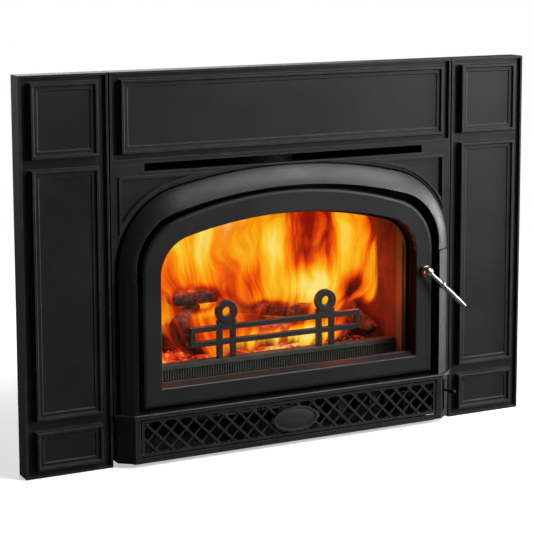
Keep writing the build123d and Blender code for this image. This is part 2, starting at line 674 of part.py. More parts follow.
def glazing():
    """The tape, the glass and the retaining ring, laid into the rebate from behind."""
    tape_y = DOOR_BACK_Y - REBATE_DEPTH
    glass_y = tape_y + TAPE_THICK
    ring_y = glass_y + GLASS_THICK
    grow = REBATE - GLASS_PLAY
    return {
        "glass_tape": glass_layer(grow, tape_y, glass_y, 0.5),
        "door_glass": glass_layer(grow, glass_y, ring_y),
        "glass_retainer": glass_layer(REBATE - 0.2, ring_y, DOOR_BACK_Y, 0.5),
    }


def door_rope_seal():
    """The rope seal in its groove round the back of the door."""
    return rope_ring(DOOR_BACK_Y - ROPE_SINK, FRAME_FRONT_Y - ROPE_CLEAR)


def hinge_brackets():
    """Two knuckles on short arms, screwed to the front frame, which the door's pins pass."""
    brackets = []
    for z in HINGE_ZS:
        zs = (z - KNUCKLE_HALF, z + KNUCKLE_HALF)
        knuckle = rod((HINGE_X, HINGE_Y, zs[0]), (HINGE_X, HINGE_Y, zs[1]), KNUCKLE_R)
        arm = block((HINGE_X - 4, HINGE_X + 4), (HINGE_Y, FRAME_FRONT_Y), zs)
        foot = block((HINGE_X - 14, HINGE_X + 6), (FRAME_FRONT_Y - 3, FRAME_FRONT_Y), zs)
        bore = rod((HINGE_X, HINGE_Y, zs[0] - 1), (HINGE_X, HINGE_Y, zs[1] + 1), HINGE_PIN_R + PRESSED)
        brackets.append(knuckle + arm + foot - bore)
    return brackets


def pivot_pins():
    """The two pins of the door and the two stub pins that the grille drops down on."""
    reach = POCKET_HALF + PIN_BITE - 0.5
    pins = []
    for z in HINGE_ZS:
        pins.append(rod((HINGE_X, HINGE_Y, z - reach), (HINGE_X, HINGE_Y, z + reach), HINGE_PIN_R))
    pin_y = LIP_FRONT_Y + LIP_OVERHANG + 4
    ends = (GRILLE_HALF - GRILLE_BAR + 0.3, GRILLE_HALF + GRILLE_GAP + 7)
    for way in (-1, 1):
        inner = (way * ends[0], pin_y, GRILLE_AXIS_Z)
        pins.append(rod(inner, (way * ends[1], pin_y, GRILLE_AXIS_Z), GRILLE_PIN_R))
    return pins


# ================================================================ handle and latch
def handle_point(run):
    """A point on the handle's centre line at a distance from the hub."""
    angle = math.radians(-HANDLE_ANGLE)
    x = HANDLE_X + run * math.cos(angle)
    z = HANDLE_Z + run * math.sin(angle)
    y = DOOR_FRONT_Y - HUB_LENGTH / 2 - 4 - ARM_LEAN * run / ARM_LENGTH
    return (x, y, z)


def handle_hub():
    """The hub on the door's face, with its spindle through the door and the bare arm."""
    front = DOOR_FRONT_Y - 0.3
    nose = front - HUB_LENGTH
    skirt = rod((HANDLE_X, front, HANDLE_Z), (HANDLE_X, front - 5, HANDLE_Z), HUB_R)
    neck = rod((HANDLE_X, front, HANDLE_Z), (HANDLE_X, nose + 9, HANDLE_Z), HUB_R - 3)
    ball = Pos(HANDLE_X, nose + 11, HANDLE_Z) * Sphere(HUB_R - 1)
    spindle_end = (HANDLE_X, FRAME_FRONT_Y - 1, HANDLE_Z)
    spindle = rod((HANDLE_X, front, HANDLE_Z), spindle_end, HANDLE_SHAFT_R)
    arm = rod(handle_point(0), handle_point(GRIP_START), ARM_R)
    return skirt + neck + ball + spindle + arm


def handle_collar():
    """The ring between the arm and the grip."""
    return rod(handle_point(GRIP_START), handle_point(GRIP_START + 4), COLLAR_R)


def handle_grip():
    """The straight grip, slightly fuller in the middle, with a domed end."""
    runs = [(4, 0.86), (20, 1.0), (44, 1.0), (ARM_LENGTH - GRIP_START - 4, 0.85)]
    start = Vector(*handle_point(GRIP_START + 4))
    way = (Vector(*handle_point(ARM_LENGTH)) - start).normalized()
    sections = []
    for run, share in runs:
        plane = Plane(origin=start + way * (run - 4), z_dir=way)
        sections.append(plane * Circle(GRIP_R * share))
    grip = loft(sections, ruled=True)
    end_r = GRIP_R * runs[-1][1]
    tip = start + way * (runs[-1][0] - 4)
    return grip + Pos(*tip) * Sphere(end_r)


def handle_bush():
    """The bronze bush that the handle's spindle turns in."""
    ends = (DOOR_FRONT_Y, DOOR_BACK_Y)
    bush = rod((HANDLE_X, ends[0], HANDLE_Z), (HANDLE_X, ends[1], HANDLE_Z), HANDLE_BUSH_R)
    bore_ends = [(HANDLE_X, ends[0] - 1, HANDLE_Z), (HANDLE_X, ends[1] + 1, HANDLE_Z)]
    return bush - rod(*bore_ends, HANDLE_SHAFT_R + RUNNING)


def latch_cam():
    """The finger behind the door that turns in behind the keeper."""
    back = FRAME_FRONT_Y - 1
    front = back - CAM_THICK
    boss = rod((HANDLE_X, front, HANDLE_Z), (HANDLE_X, back, HANDLE_Z), HANDLE_BUSH_R - 0.2)
    finger = block((0, CAM_REACH), (front, back), (-CAM_WIDTH / 2, CAM_WIDTH / 2))
    turned = Pos(HANDLE_X, 0, HANDLE_Z) * Rot(0, -CAM_LEAD, 0) * finger
    bore_ends = [(HANDLE_X, front - 1, HANDLE_Z), (HANDLE_X, back + 1, HANDLE_Z)]
    bore = rod(*bore_ends, HANDLE_SHAFT_R + PRESSED)
    return boss + turned - bore


def latch_keeper():
    """The hook on the front frame that holds the cam when the door is shut."""
    lip_front = FRAME_FRONT_Y - 1 - CAM_THICK - 4.5
    xs = (HANDLE_X + 18.5, HANDLE_X + 27)
    top = HANDLE_Z + 3
    foot = HANDLE_Z - 14
    hook = block(xs, (lip_front, lip_front + 3.7), (foot, top))
    leg = block(xs, (lip_front, FRAME_FRONT_Y), (foot, foot + 5))
    pad = block(xs, (FRAME_FRONT_Y - 3, FRAME_FRONT_Y), (foot - 12, foot + 5))
    return hook + leg + pad


# ================================================================ air control
def lever_point(run):
    """A point on the lever's centre line."""
    tilt = math.radians(LEVER_REST)
    return (LEVER_X, LEVER_Y - run * math.cos(tilt), LEVER_Z + run * math.sin(tilt))


def air_lever():
    """The lever: a rod through the slot, its cross shaft, and the crank that works the shutter."""
    shaft = rod((CRANK_X, LEVER_Y, LEVER_Z), (LEVER_X + 4, LEVER_Y, LEVER_Z), LEVER_SHAFT_R)
    stem = rod(lever_point(0), lever_point(LEVER_REACH), LEVER_ROD_R)
    boss = rod((LEVER_X - 4, LEVER_Y, LEVER_Z), (LEVER_X + 4, LEVER_Y, LEVER_Z), 6)
    crank_y = (LEVER_Y, LEVER_Y + CRANK_REACH)
    crank = block((CRANK_X, CRANK_X + 6), crank_y, (LEVER_Z - 4, LEVER_Z + 4))
    eye = rod((CRANK_X, LEVER_Y, LEVER_Z), (CRANK_X + 6, LEVER_Y, LEVER_Z), 7)
    pin_y = LEVER_Y + CRANK_REACH
    tip = rod((CRANK_X, pin_y, LEVER_Z), (CRANK_X + 6, pin_y, LEVER_Z), 4)
    pin = rod((CRANK_X + 6, pin_y, LEVER_Z), (CRANK_X + 15, pin_y, LEVER_Z), 2)
    return shaft + stem + boss + crank + eye + tip + pin


def air_lever_knob():
    """The small turned knob on the end of the lever."""
    body = rod(lever_point(LEVER_REACH - 9), lever_point(LEVER_REACH + 3), 4.6)
    neck = rod(lever_point(LEVER_REACH - 12), lever_point(LEVER_REACH - 9), 3.6)
    nose = Pos(*lever_point(LEVER_REACH + 3)) * Sphere(4.6)
    bore = rod(lever_point(LEVER_REACH - 14), lever_point(LEVER_REACH + 0.2), LEVER_ROD_R + PRESSED)
    return body + neck + nose - bore


def air_shutter():
    """The plate that slides over the air inlet, with the fork that the crank pin works in."""
    back_y = AIR_BOX_Y[0] - 0.3
    front_y = back_y - 2.5
    plate = block(SHUTTER_X, (front_y, back_y), SHUTTER_Z)
    fork_x = (CRANK_X + 8, CRANK_X + 16)
    fork_y = (LEVER_Y + CRANK_REACH - 5, front_y)
    gap = 2 + 0.7
    upper = block(fork_x, fork_y, (LEVER_Z + gap, LEVER_Z + gap + 3.5))
    lower = block(fork_x, fork_y, (LEVER_Z - gap - 3.5, LEVER_Z - gap))
    return plate + upper + lower


def air_box():
    """The inlet box under the firebox floor, with the rails the shutter slides in."""
    outer_x = (SHUTTER_X[0] - 8, SHUTTER_X[1] + 8)
    floor_z = LEVER_Z + 2
    face = block(outer_x, (AIR_BOX_Y[0], AIR_BOX_Y[0] + SHEET), (44, SHELL_FLOOR_Z))
    shell = block(outer_x, AIR_BOX_Y, (floor_z, SHELL_FLOOR_Z))
    shell -= block(
        (outer_x[0] + SHEET, outer_x[1] - SHEET),
        (AIR_BOX_Y[0] + SHEET, AIR_BOX_Y[1] - SHEET),
        (floor_z + SHEET, SHELL_FLOOR_Z + 1),
    )
    box = face + shell
    rail_y = (AIR_BOX_Y[0] - 5.5, AIR_BOX_Y[0])
    rail_z = (44, BASE_TOP_Z - LIP_THICK - 1)
    for edge, way in ((SHUTTER_X[0], -1), (SHUTTER_X[1], 1)):
        rail_x = sorted((edge + way * 0.4, edge + way * 4))
        lip_x = sorted((edge - way * 3.5, edge + way * 4))
        box += block(rail_x, rail_y, rail_z)
        box += block(lip_x, (rail_y[0], AIR_BOX_Y[0] - 3.1), rail_z)
    inlet_x = (SHUTTER_X[0] + 6, SHUTTER_X[1] - 6)
    inlet_y = (AIR_BOX_Y[0] - 1, AIR_BOX_Y[0] + SHEET + 1)
    return box - block(inlet_x, inlet_y, (floor_z + 4, floor_z + 20))


# ================================================================ body
def base_pan():
    """The floor of the blower space, which everything stands on."""
    pan = block((-BODY_HALF, BODY_HALF), (PAN_FRONT_Y, BODY_BACK_Y), (0, PAN_THICK))
    for x, y in levelling_points():
        pan -= rod((x, y, -1), (x, y, PAN_THICK + 1), SCREW_R + 1 + SCREW_PLAY)
    return pan


def levelling_points():
    """The four corners of the pan that have levelling bolts."""
    xs = (-BODY_HALF + 22, BODY_HALF - 22)
    return [(x, y) for x in xs for y in (30, BODY_BACK_Y - 24)]


def levelling_bolts():
    """Four bolts with nuts on the pan, their tips level with its underside."""
    bolts = []
    for x, y in levelling_points():
        nut = extrude(Plane(origin=(x, y, PAN_THICK)) * RegularPolygon(8, 6), 6)
        bolts.append(rod((x, y, 0), (x, y, 26), SCREW_R + 1) + nut)
    return bolts


def casing_sides():
    """The two outer side sheets; the left one has the power inlet's hole."""
    xs = (BODY_HALF - SHEET, BODY_HALF)
    ys = (0, BODY_BACK_Y - SHEET)
    zs = (PAN_THICK, CASING_TOP_Z)
    ends = [(x, *GLAND_PLACE) for x in (-BODY_HALF - 5, -BODY_HALF + 9)]
    gland = rod(*ends, GLAND_R + SCREW_PLAY)
    return [block(xs, ys, zs), block(mirrored(xs), ys, zs) - gland]


def casing_back():
    """The outer back sheet."""
    ys = (BODY_BACK_Y - SHEET, BODY_BACK_Y)
    return block((-BODY_HALF, BODY_HALF), ys, (PAN_THICK, CASING_TOP_Z))


def casing_top():
    """The outer top sheet, cut out for the flue collar."""
    top = block((-BODY_HALF, BODY_HALF), (FIT, BODY_BACK_Y), (CASING_TOP_Z, CASING_TOP_Z + SHEET))
    ends = [(0, FLUE_Y, CASING_TOP_Z - 1), (0, FLUE_Y, CASING_TOP_Z + SHEET + 1)]
    return top - rod(*ends, FLUE_R + FLUE_WALL + 1.5)


def firebox_plates():
    """The five plates of the firebox."""
    zs = (SHELL_FLOOR_Z, SHELL_TOP_Z + SHELL_WALL)
    ys = (FRAME_BACK_Y, SHELL_BACK_Y)
    inner_z = (SHELL_FLOOR_Z + SHELL_WALL, SHELL_TOP_Z)
    right = block((SHELL_INNER, SHELL_HALF), ys, inner_z)
    floor = block((-SHELL_HALF, SHELL_HALF), ys, (zs[0], inner_z[0]))
    port = block((SHUTTER_X[0], SHUTTER_X[1]), (10, 20), (zs[0] - 1, inner_z[0] + 1))
    top = block((-SHELL_HALF, SHELL_HALF), ys, (inner_z[1], zs[1]))
    flue = rod((0, FLUE_Y, SHELL_TOP_Z - 1), (0, FLUE_Y, zs[1] + 1), FLUE_R + 2)
    back = block((-SHELL_INNER, SHELL_INNER), (SHELL_BACK_Y - SHELL_WALL, SHELL_BACK_Y), inner_z)
    return {
        "firebox_floor": floor - port,
        "firebox_sides": [right, mirror(right, Plane.YZ)],
        "firebox_top": top - flue,
        "firebox_back": back,
    }


def shell_spacers():
    """Four stand-offs that carry the firebox on the pan."""
    posts = []
    for x in (-SHELL_HALF + 9, SHELL_HALF - 9):
        for y in (80, SHELL_BACK_Y - 16):
            post = rod((x, y, PAN_THICK), (x, y, SHELL_FLOOR_Z), 6)
            posts.append(post + rod((x, y, PAN_THICK), (x, y, PAN_THICK + 4), 11))
    return posts


def flue_collar():
    """The flue outlet, flanged to the firebox top."""
    foot = SHELL_TOP_Z + SHELL_WALL
    tube = rod((0, FLUE_Y, foot), (0, FLUE_Y, foot + FLUE_HEIGHT), FLUE_R + FLUE_WALL)
    flange = rod((0, FLUE_Y, foot), (0, FLUE_Y, foot + SHELL_WALL), FLUE_R + FLUE_FLANGE)
    return tube + flange - rod((0, FLUE_Y, foot - 1), (0, FLUE_Y, foot + FLUE_HEIGHT + 1), FLUE_R)


def row_of_bricks(xs, ys, zs, count, along):
    """Bricks side by side with a joint between them, along X or Y."""
    low, high = (xs, ys)[along]
    step = (high - low + BRICK_JOINT) / count
    bricks = []
    for k in range(count):
        span = (low + k * step, low + (k + 1) * step - BRICK_JOINT)
        limits = [xs, ys, zs]
        limits[along] = span
        bricks.append(block(*limits))
    return bricks


def firebricks():
    """The floor, side and back linings."""
    floor_z = (SHELL_FLOOR_Z + SHELL_WALL, FLOOR_BRICK_TOP_Z)
    wall_z = (FLOOR_BRICK_TOP_Z, BRICK_TOP_Z)
    shell_back = SHELL_BACK_Y - SHELL_WALL
    floor_y = (FRAME_BACK_Y, shell_back)
    port = block(SHUTTER_X, (10, 20), (floor_z[0] - 1, floor_z[1] + 1))
    floor = row_of_bricks((-SHELL_INNER, SHELL_INNER), floor_y, floor_z, 5, 0)
    side_x = (BRICK_FACE, SHELL_INNER)
    side_y = (FRAME_BACK_Y + CHEEK_DEPTH, shell_back)
    sides = row_of_bricks(side_x, side_y, wall_z, 2, 1)
    back_x = (-BRICK_FACE, BRICK_FACE)
    return {
        "floor_bricks": [brick - port for brick in floor],
        "side_bricks": sides + [mirror(brick, Plane.YZ) for brick in sides],
        "back_bricks": row_of_bricks(back_x, (BACK_BRICK_Y, shell_back), wall_z, 4, 0),
    }


def side_cheeks():
    """The iron cheeks that hold the side bricks back from the door opening."""
    ys = (FRAME_BACK_Y, FRAME_BACK_Y + CHEEK_DEPTH)
    cheek = block((BRICK_FACE, SHELL_INNER), ys, (FLOOR_BRICK_TOP_Z, BRICK_TOP_Z))
    return [cheek, mirror(cheek, Plane.YZ)]


def baffle():
    """The insulating board over the fire, resting on the side and back linings."""
    xs = (-SHELL_INNER + 8, SHELL_INNER - 8)
    return block(xs, (40, SHELL_BACK_Y - SHELL_WALL), (BRICK_TOP_Z, BRICK_TOP_Z + BAFFLE_THICK))


def airwash_channel():
    """The folded channel behind the top of the opening that washes the glass with air."""
    ys = (FRAME_BACK_Y, FRAME_BACK_Y + 26)
    zs = (GLASS_OPENING[1] + 8, SHELL_TOP_Z)
    channel = block((-SHELL_INNER, SHELL_INNER), ys, zs)
    inside_x = (-SHELL_INNER - 1, SHELL_INNER + 1)
    inside = block(inside_x, (ys[0] - 1, ys[1] - SHEET), (zs[0] + SHEET, zs[1] + 1))
    gap = block((-200, 200), (ys[0] + 4, ys[0] + 9), (zs[0] - 1, zs[0] + SHEET + 1))
    return channel - inside - gap


def ash_dam():
    """The ribbed iron bar that keeps ash and logs off the glass and feeds air to the fire."""
    half = BRICK_FACE - 0.5
    count = int(2 * (half - 8) / DAM_RIB_PITCH)
    start = -count * DAM_RIB_PITCH / 2
    rib_y = DAM_FRONT_Y + 2
    points = [(-half, DAM_FRONT_Y)]
    for k in range(count):
        x = start + k * DAM_RIB_PITCH
        points += [(x, DAM_FRONT_Y), (x + 0.8, rib_y), (x + 2.6, rib_y), (x + 3.4, DAM_FRONT_Y)]
    points += [(half, DAM_FRONT_Y), (half, DAM_FRONT_Y + DAM_DEPTH), (-half, DAM_FRONT_Y + DAM_DEPTH)]
    ribbed = make_face(Polyline(*points, close=True))
    cap_z = FLOOR_BRICK_TOP_Z + DAM_HEIGHT - DAM_CAP
    dam = extrude(Plane.XY.offset(FLOOR_BRICK_TOP_Z) * ribbed, DAM_HEIGHT - DAM_CAP)
    cap = block((-half, half), (DAM_FRONT_Y - 2, DAM_FRONT_Y + DAM_DEPTH), (cap_z, cap_z + DAM_CAP))
    duct_y = (DAM_FRONT_Y + 6, DAM_FRONT_Y + DAM_DEPTH - 4)
    duct = block((-half + 10, half - 10), duct_y, (FLOOR_BRICK_TOP_Z - 1, cap_z))
    return dam + cap - duct


def log_retainer():
    """The bar across the fire: two ring-headed uprights joined by a looped double rail."""
    y = DAM_FRONT_Y + DAM_DEPTH / 2
    ys = (y - BAR / 2, y + BAR / 2)
    foot = FLOOR_BRICK_TOP_Z + DAM_HEIGHT
    rails = plate_sketch((-RAIL_HALF, RAIL_HALF), (RAIL_ZS[0] - BAR / 2, RAIL_ZS[1] + BAR / 2))
    gap_z = (RAIL_ZS[0] + BAR / 2, RAIL_ZS[1] - BAR / 2)
    rails -= plate_sketch((-RAIL_HALF + BAR, RAIL_HALF - BAR), gap_z)
    casting = extrude(wall_plane(ys[1]) * rails, BAR)
    for x in (-RING_X, RING_X):
        for side in (-1, 1):
            post = (x + side * POST_APART / 2 - BAR / 2, x + side * POST_APART / 2 + BAR / 2)
            casting += block(post, ys, (foot, RING_Z - RING_R + 3))
        head = (x - POST_APART / 2 - BAR / 2, x + POST_APART / 2 + BAR / 2)
        casting += block(head, ys, (RAIL_ZS[1], RING_Z - RING_R + 6))
        ring = rod((x, ys[0] - 1, RING_Z), (x, ys[1] + 1, RING_Z), RING_R)
        casting += ring
        casting -= rod((x, ys[0] - 2, RING_Z), (x, ys[1] + 2, RING_Z), RING_HOLE_R)
    return casting


def ember_bed():
    """The bed of embers on the floor bricks behind the dam."""
    xs = (-BRICK_FACE + 6, BRICK_FACE - 6)
    ys = (DAM_FRONT_Y + DAM_DEPTH + 4, BACK_BRICK_Y - 4)
    low = FLOOR_BRICK_TOP_Z
    centre = Pos((xs[0] + xs[1]) / 2, (ys[0] + ys[1]) / 2)
    bottom = Plane.XY.offset(low) * centre * Rectangle(xs[1] - xs[0], ys[1] - ys[0])
    narrowed = Rectangle(xs[1] - xs[0] - 3 * EMBER_DEPTH, ys[1] - ys[0] - 2 * EMBER_DEPTH)
    top = Plane.XY.offset(low + EMBER_DEPTH) * centre * narrowed
    return loft([bottom, top], ruled=True)


def fire_logs():
    """The burning logs: two on the embers, two across them, one on top and one leaning."""
    bed = FLOOR_BRICK_TOP_Z + EMBER_DEPTH + LOG_CLEAR
    back_r, front_r, cross_r, loose_r = LOG_RS
    back_y, front_y = LOG_YS
    over_back = bed + 2 * back_r + cross_r + LOG_CLEAR
    over_front = bed + 2 * front_r + cross_r + LOG_CLEAR
    slope = (over_back - over_front) / (back_y - front_y)
    ends_y = (front_y - 26, back_y + 15)
    ends_z = [over_front + slope * (y - front_y) + LOG_CLEAR for y in ends_y]
    middle_y = (front_y + back_y) / 2
    over_cross = over_front + slope * (middle_y - front_y) + cross_r + loose_r + 2 * LOG_CLEAR
    return [
        rod((-190, back_y, bed + back_r), (235, back_y, bed + back_r), back_r),
        rod((-170, front_y, bed + front_r), (185, front_y, bed + front_r), front_r),
        rod((-195, ends_y[0], ends_z[0]), (-110, ends_y[1], ends_z[1]), cross_r),
        rod((110, ends_y[0], ends_z[0]), (-60, ends_y[1], ends_z[1]), cross_r),
        rod((-185, middle_y, over_cross), (45, middle_y, over_cross), loose_r),
        leaning_log(bed, back_y, back_r, loose_r),
    ]


def leaning_log(bed, back_y, back_r, radius):
    """The log at the right that leans from the embers on the back log."""
    foot_x, foot_y = LEAN_FOOT
    low, high = 0.3, 2.0  # the rise for each unit into the fire lies between these
    for _ in range(40):
        rise = (low + high) / 2
        over_back = bed + back_r + (back_r + radius + LOG_CLEAR) * math.hypot(1, rise)
        foot_z = over_back - rise * (back_y - foot_y)
        level = math.hypot(1, LEAN_DRIFT) / math.hypot(1, LEAN_DRIFT, rise)
        if foot_z > bed + radius * level + LOG_CLEAR:
            low = rise
        else:
            high = rise
    reach = back_y + LEAN_PAST - foot_y
    head = (foot_x + LEAN_DRIFT * reach, foot_y + reach, foot_z + rise * reach)
    return rod((foot_x, foot_y, foot_z), head, radius)


# ================================================================ blower and its control
def blower_housing():
    """The scroll housing of the tangential blower, on two feet."""
    half = ROTOR_HALF + HOUSING_PLAY
    centre = (ROTOR_Y, ROTOR_Z)
    outlet = ((ROTOR_Y, ROTOR_Y + 62), (ROTOR_Z + 18, ROTOR_Z + SCROLL_R))
    side = Plane(origin=(-half, 0, 0), x_dir=(0, 1, 0), z_dir=(1, 0, 0))
    outer = Pos(*centre) * Circle(SCROLL_R) + plate_sketch(*outlet)
    inner = Pos(*centre) * Circle(SCROLL_R - SHEET)
    throat = ((outlet[0][0] - 2, outlet[0][1] + 1), (outlet[1][0] + SHEET, outlet[1][1] - SHEET))
    inner += plate_sketch(*throat)
    housing = extrude(side * outer, 2 * half)
    core = Plane(origin=(-half + SHEET, 0, 0), x_dir=(0, 1, 0), z_dir=(1, 0, 0))
    housing -= extrude(core * inner, 2 * (half - SHEET))
    intake_y = (ROTOR_Y - SCROLL_R - 7, ROTOR_Y - 6)
    housing -= block((-half + SHEET, half - SHEET), intake_y, (ROTOR_Z - 26, ROTOR_Z + 14))
    foot = (half - 42, half - 34)
    for xs in (foot, mirrored(foot)):
        foot_z = (PAN_THICK, ROTOR_Z - SCROLL_R + 1)
        housing += block(xs, (ROTOR_Y - 14, ROTOR_Y + 14), foot_z)
    return housing - rod((-half - 1, *centre), (half + 1, *centre), BUSH_R + PRESSED)


def rotor_bushes():
    """The two bushes of the blower's shaft, in the housing's ends."""
    half = ROTOR_HALF + HOUSING_PLAY
    bushes = []
    for way in (-1, 1):
        ends = (way * (half - 3), way * (half + 3))
        bush = rod((ends[0], ROTOR_Y, ROTOR_Z), (ends[1], ROTOR_Y, ROTOR_Z), BUSH_R)
        bore_ends = [(x, ROTOR_Y, ROTOR_Z) for x in (ends[0] - way, ends[1] + way)]
        bushes.append(bush - rod(*bore_ends, BLOWER_SHAFT_R + RUNNING))
    return bushes


def blower_rotor():
    """The drum of blades on its discs."""
    discs = []
    for x in (-ROTOR_HALF, -1, ROTOR_HALF - 2):
        discs.append(rod((x, ROTOR_Y, ROTOR_Z), (x + 2, ROTOR_Y, ROTOR_Z), ROTOR_R))
    blade = Pos(0, ROTOR_R - 4.5, 0) * Rot(28, 0, 0) * Box(2 * ROTOR_HALF - 2, 7, 1.4)
    blades = [Rot(360 * k / BLADE_COUNT, 0, 0) * blade for k in range(BLADE_COUNT)]
    drum = discs[0] + discs[1:] + [Pos(0, ROTOR_Y, ROTOR_Z) * item for item in blades]
    return drum - rod((-200, ROTOR_Y, ROTOR_Z), (200, ROTOR_Y, ROTOR_Z), BLOWER_SHAFT_R + PRESSED)


def blower_shaft():
    """The shaft from the far bush to the motor."""
    half = ROTOR_HALF + HOUSING_PLAY
    ends = [(x, ROTOR_Y, ROTOR_Z) for x in (-half - 8, half + MOTOR_LENGTH - 2)]
    return rod(*ends, BLOWER_SHAFT_R)


def blower_motor():
    """The motor beside the blower, on its own foot."""
    start = ROTOR_HALF + HOUSING_PLAY + MOTOR_APART
    end = start + MOTOR_LENGTH
    body = rod((start, ROTOR_Y, ROTOR_Z), (end, ROTOR_Y, ROTOR_Z), MOTOR_R)
    cap = rod((end, ROTOR_Y, ROTOR_Z), (end + 6, ROTOR_Y, ROTOR_Z), MOTOR_R - 10)
    foot = block((start + 14, end - 14), (ROTOR_Y - 16, ROTOR_Y + 16), (PAN_THICK, ROTOR_Z - MOTOR_R + 6))
    bore = rod((start - 1, ROTOR_Y, ROTOR_Z), (end - 6, ROTOR_Y, ROTOR_Z), BLOWER_SHAFT_R + RUNNING)
    return body + cap + foot - bore


def control_plate():
    """The upright plate behind the grille that holds the fan control."""
    back_y = CONTROL_Y + SHEET
    plate = block((KNOB_X - 28, KNOB_X + 24), (CONTROL_Y, back_y), (PAN_THICK, KNOB_Z + 20))
    box = block((KNOB_X - 22, KNOB_X + 24), (back_y, 0), (KNOB_Z - 18, KNOB_Z + 16))
    bore_ends = [(KNOB_X, y, KNOB_Z) for y in (CONTROL_Y - 1, CONTROL_Y + 16)]
    return plate + box - rod(*bore_ends, KNOB_SHAFT_R + RUNNING)


def fan_speed_knob():
    """The fan's rotary knob, ribbed, with a pointer and its spindle."""
    seat_y = CONTROL_Y - 0.5

    def turned(start_y, end_y, radius):
        return rod((KNOB_X, start_y, KNOB_Z), (KNOB_X, end_y, KNOB_Z), radius)

    skirt = turned(seat_y, seat_y - 3.5, KNOB_R + 3)
    knob = turned(seat_y - 3.5, seat_y - 15.5, KNOB_R)
    pointer_y = (seat_y - 17.5, seat_y - 14)
    pointer = block((KNOB_X - 1.5, KNOB_X + 1.5), pointer_y, (KNOB_Z, KNOB_Z + KNOB_R - 1))
    return skirt + knob + pointer + turned(seat_y, CONTROL_Y + 15, KNOB_SHAFT_R)


def power_gland():
    """The cable gland in the left casing sheet."""

    def turned(start, end, radius):
        return rod((start - BODY_HALF, *GLAND_PLACE), (end - BODY_HALF, *GLAND_PLACE), radius)

    seat = Plane(origin=(SHEET - BODY_HALF, *GLAND_PLACE), z_dir=(1, 0, 0))
    nut = extrude(seat * RegularPolygon(GLAND_R + 4, 6), 5)
    body = turned(-9, 0, GLAND_R + 3) + turned(-16, 7, GLAND_R)
    return body + nut - turned(-20, 12, GLAND_CORD_R)


def nodes():
    """Every node of the insert by name."""
    made = {
        "surround_left": side_panel(-1),
        "surround_right": side_panel(1),
        "surround_header": header_panel(),
        "surround_brackets": surround_brackets(),
        "surround_bolts": surround_bolts(),
        "front_frame": front_frame(),
        "front_top_plate": front_top_plate(),
        "arch_hood": arch_hood(),
        "column_left": column(-1),
        "column_right": column(1),
        "frame_screws": frame_screws(),
        "base_casting": base_casting(),
        "grille_lattice": grille_lattice(),
        "grille_badge": grille_badge(),
        "door_frame": door_frame(),
        "door_rope_seal": door_rope_seal(),
        "hinge_brackets": hinge_brackets(),
        "pivot_pins": pivot_pins(),
        "handle_hub": handle_hub(),
        "handle_collar": handle_collar(),
        "handle_grip": handle_grip(),
        "handle_bush": handle_bush(),
        "latch_cam": latch_cam(),
        "latch_keeper": latch_keeper(),
        "air_lever": air_lever(),
        "air_lever_knob": air_lever_knob(),
        "air_shutter": air_shutter(),
        "air_box": air_box(),
        "base_pan": base_pan(),
        "levelling_bolts": levelling_bolts(),
        "casing_sides": casing_sides(),
        "casing_back": casing_back(),
        "casing_top": casing_top(),
        "shell_spacers": shell_spacers(),
        "flue_collar": flue_collar(),
        "side_cheeks": side_cheeks(),
        "baffle": baffle(),
        "airwash_channel": airwash_channel(),
        "ash_dam": ash_dam(),
        "log_retainer": log_retainer(),
        "ember_bed": ember_bed(),
        "fire_logs": fire_logs(),
        "blower_housing": blower_housing(),
        "rotor_bushes": rotor_bushes(),
        "blower_rotor": blower_rotor(),
        "blower_shaft": blower_shaft(),
        "blower_motor": blower_motor(),
        "control_plate": control_plate(),
        "fan_speed_knob": fan_speed_knob(),
        "power_gland": power_gland(),
    }
    made.update(glazing())
    made.update(firebox_plates())
    made.update(firebricks())
    return made


os.makedirs("parts", exist_ok=True)
for name, shape in nodes().items():
    pieces = shape if isinstance(shape, list) else [shape]
    solids = [solid for piece in pieces for solid in piece.solids()]
    export_step(Compound(solids), f"parts/{name}.step")
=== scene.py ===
import math
import random

import bpy
from mathutils import Matrix, Vector, noise


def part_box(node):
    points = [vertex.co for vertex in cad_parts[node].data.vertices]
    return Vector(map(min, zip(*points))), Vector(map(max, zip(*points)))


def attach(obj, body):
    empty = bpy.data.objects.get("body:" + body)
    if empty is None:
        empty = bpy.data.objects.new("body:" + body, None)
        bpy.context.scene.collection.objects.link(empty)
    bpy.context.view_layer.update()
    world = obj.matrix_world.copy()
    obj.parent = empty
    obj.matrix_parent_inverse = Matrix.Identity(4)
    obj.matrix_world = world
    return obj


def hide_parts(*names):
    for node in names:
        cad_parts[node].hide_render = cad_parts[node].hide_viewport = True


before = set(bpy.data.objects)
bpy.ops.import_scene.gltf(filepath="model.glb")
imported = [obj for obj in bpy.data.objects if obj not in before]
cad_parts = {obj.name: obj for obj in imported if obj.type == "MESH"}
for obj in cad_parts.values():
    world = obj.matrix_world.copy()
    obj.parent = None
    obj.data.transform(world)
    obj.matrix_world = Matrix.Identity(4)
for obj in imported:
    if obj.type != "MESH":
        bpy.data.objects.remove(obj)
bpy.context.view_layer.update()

# ------------------------------------------------------------------ camera
# The insert is seen from the left and from a little above, through a long lens, so
# that its near side looks taller. The small shift keeps the uprights nearly parallel.
camera = bpy.data.objects.new("camera", bpy.data.cameras.new("camera"))
bpy.context.scene.collection.objects.link(camera)
bpy.context.scene.camera = camera
camera.data.sensor_width = 36
camera.data.lens = 113.6
camera.data.shift_y = -0.2
camera.data.clip_end = 50
camera_turn = math.radians(26.40)
camera_fall = math.radians(7.554)
camera_roll = math.radians(-0.172)
camera_place = (-1.4321, -2.8307, 0.9614)
camera.matrix_world = (
    Matrix.Translation(camera_place)
    @ Matrix.Rotation(-camera_turn, 4, "Z")
    @ Matrix.Rotation(math.pi / 2 - camera_fall, 4, "X")
    @ Matrix.Rotation(camera_roll, 4, "Z")
)


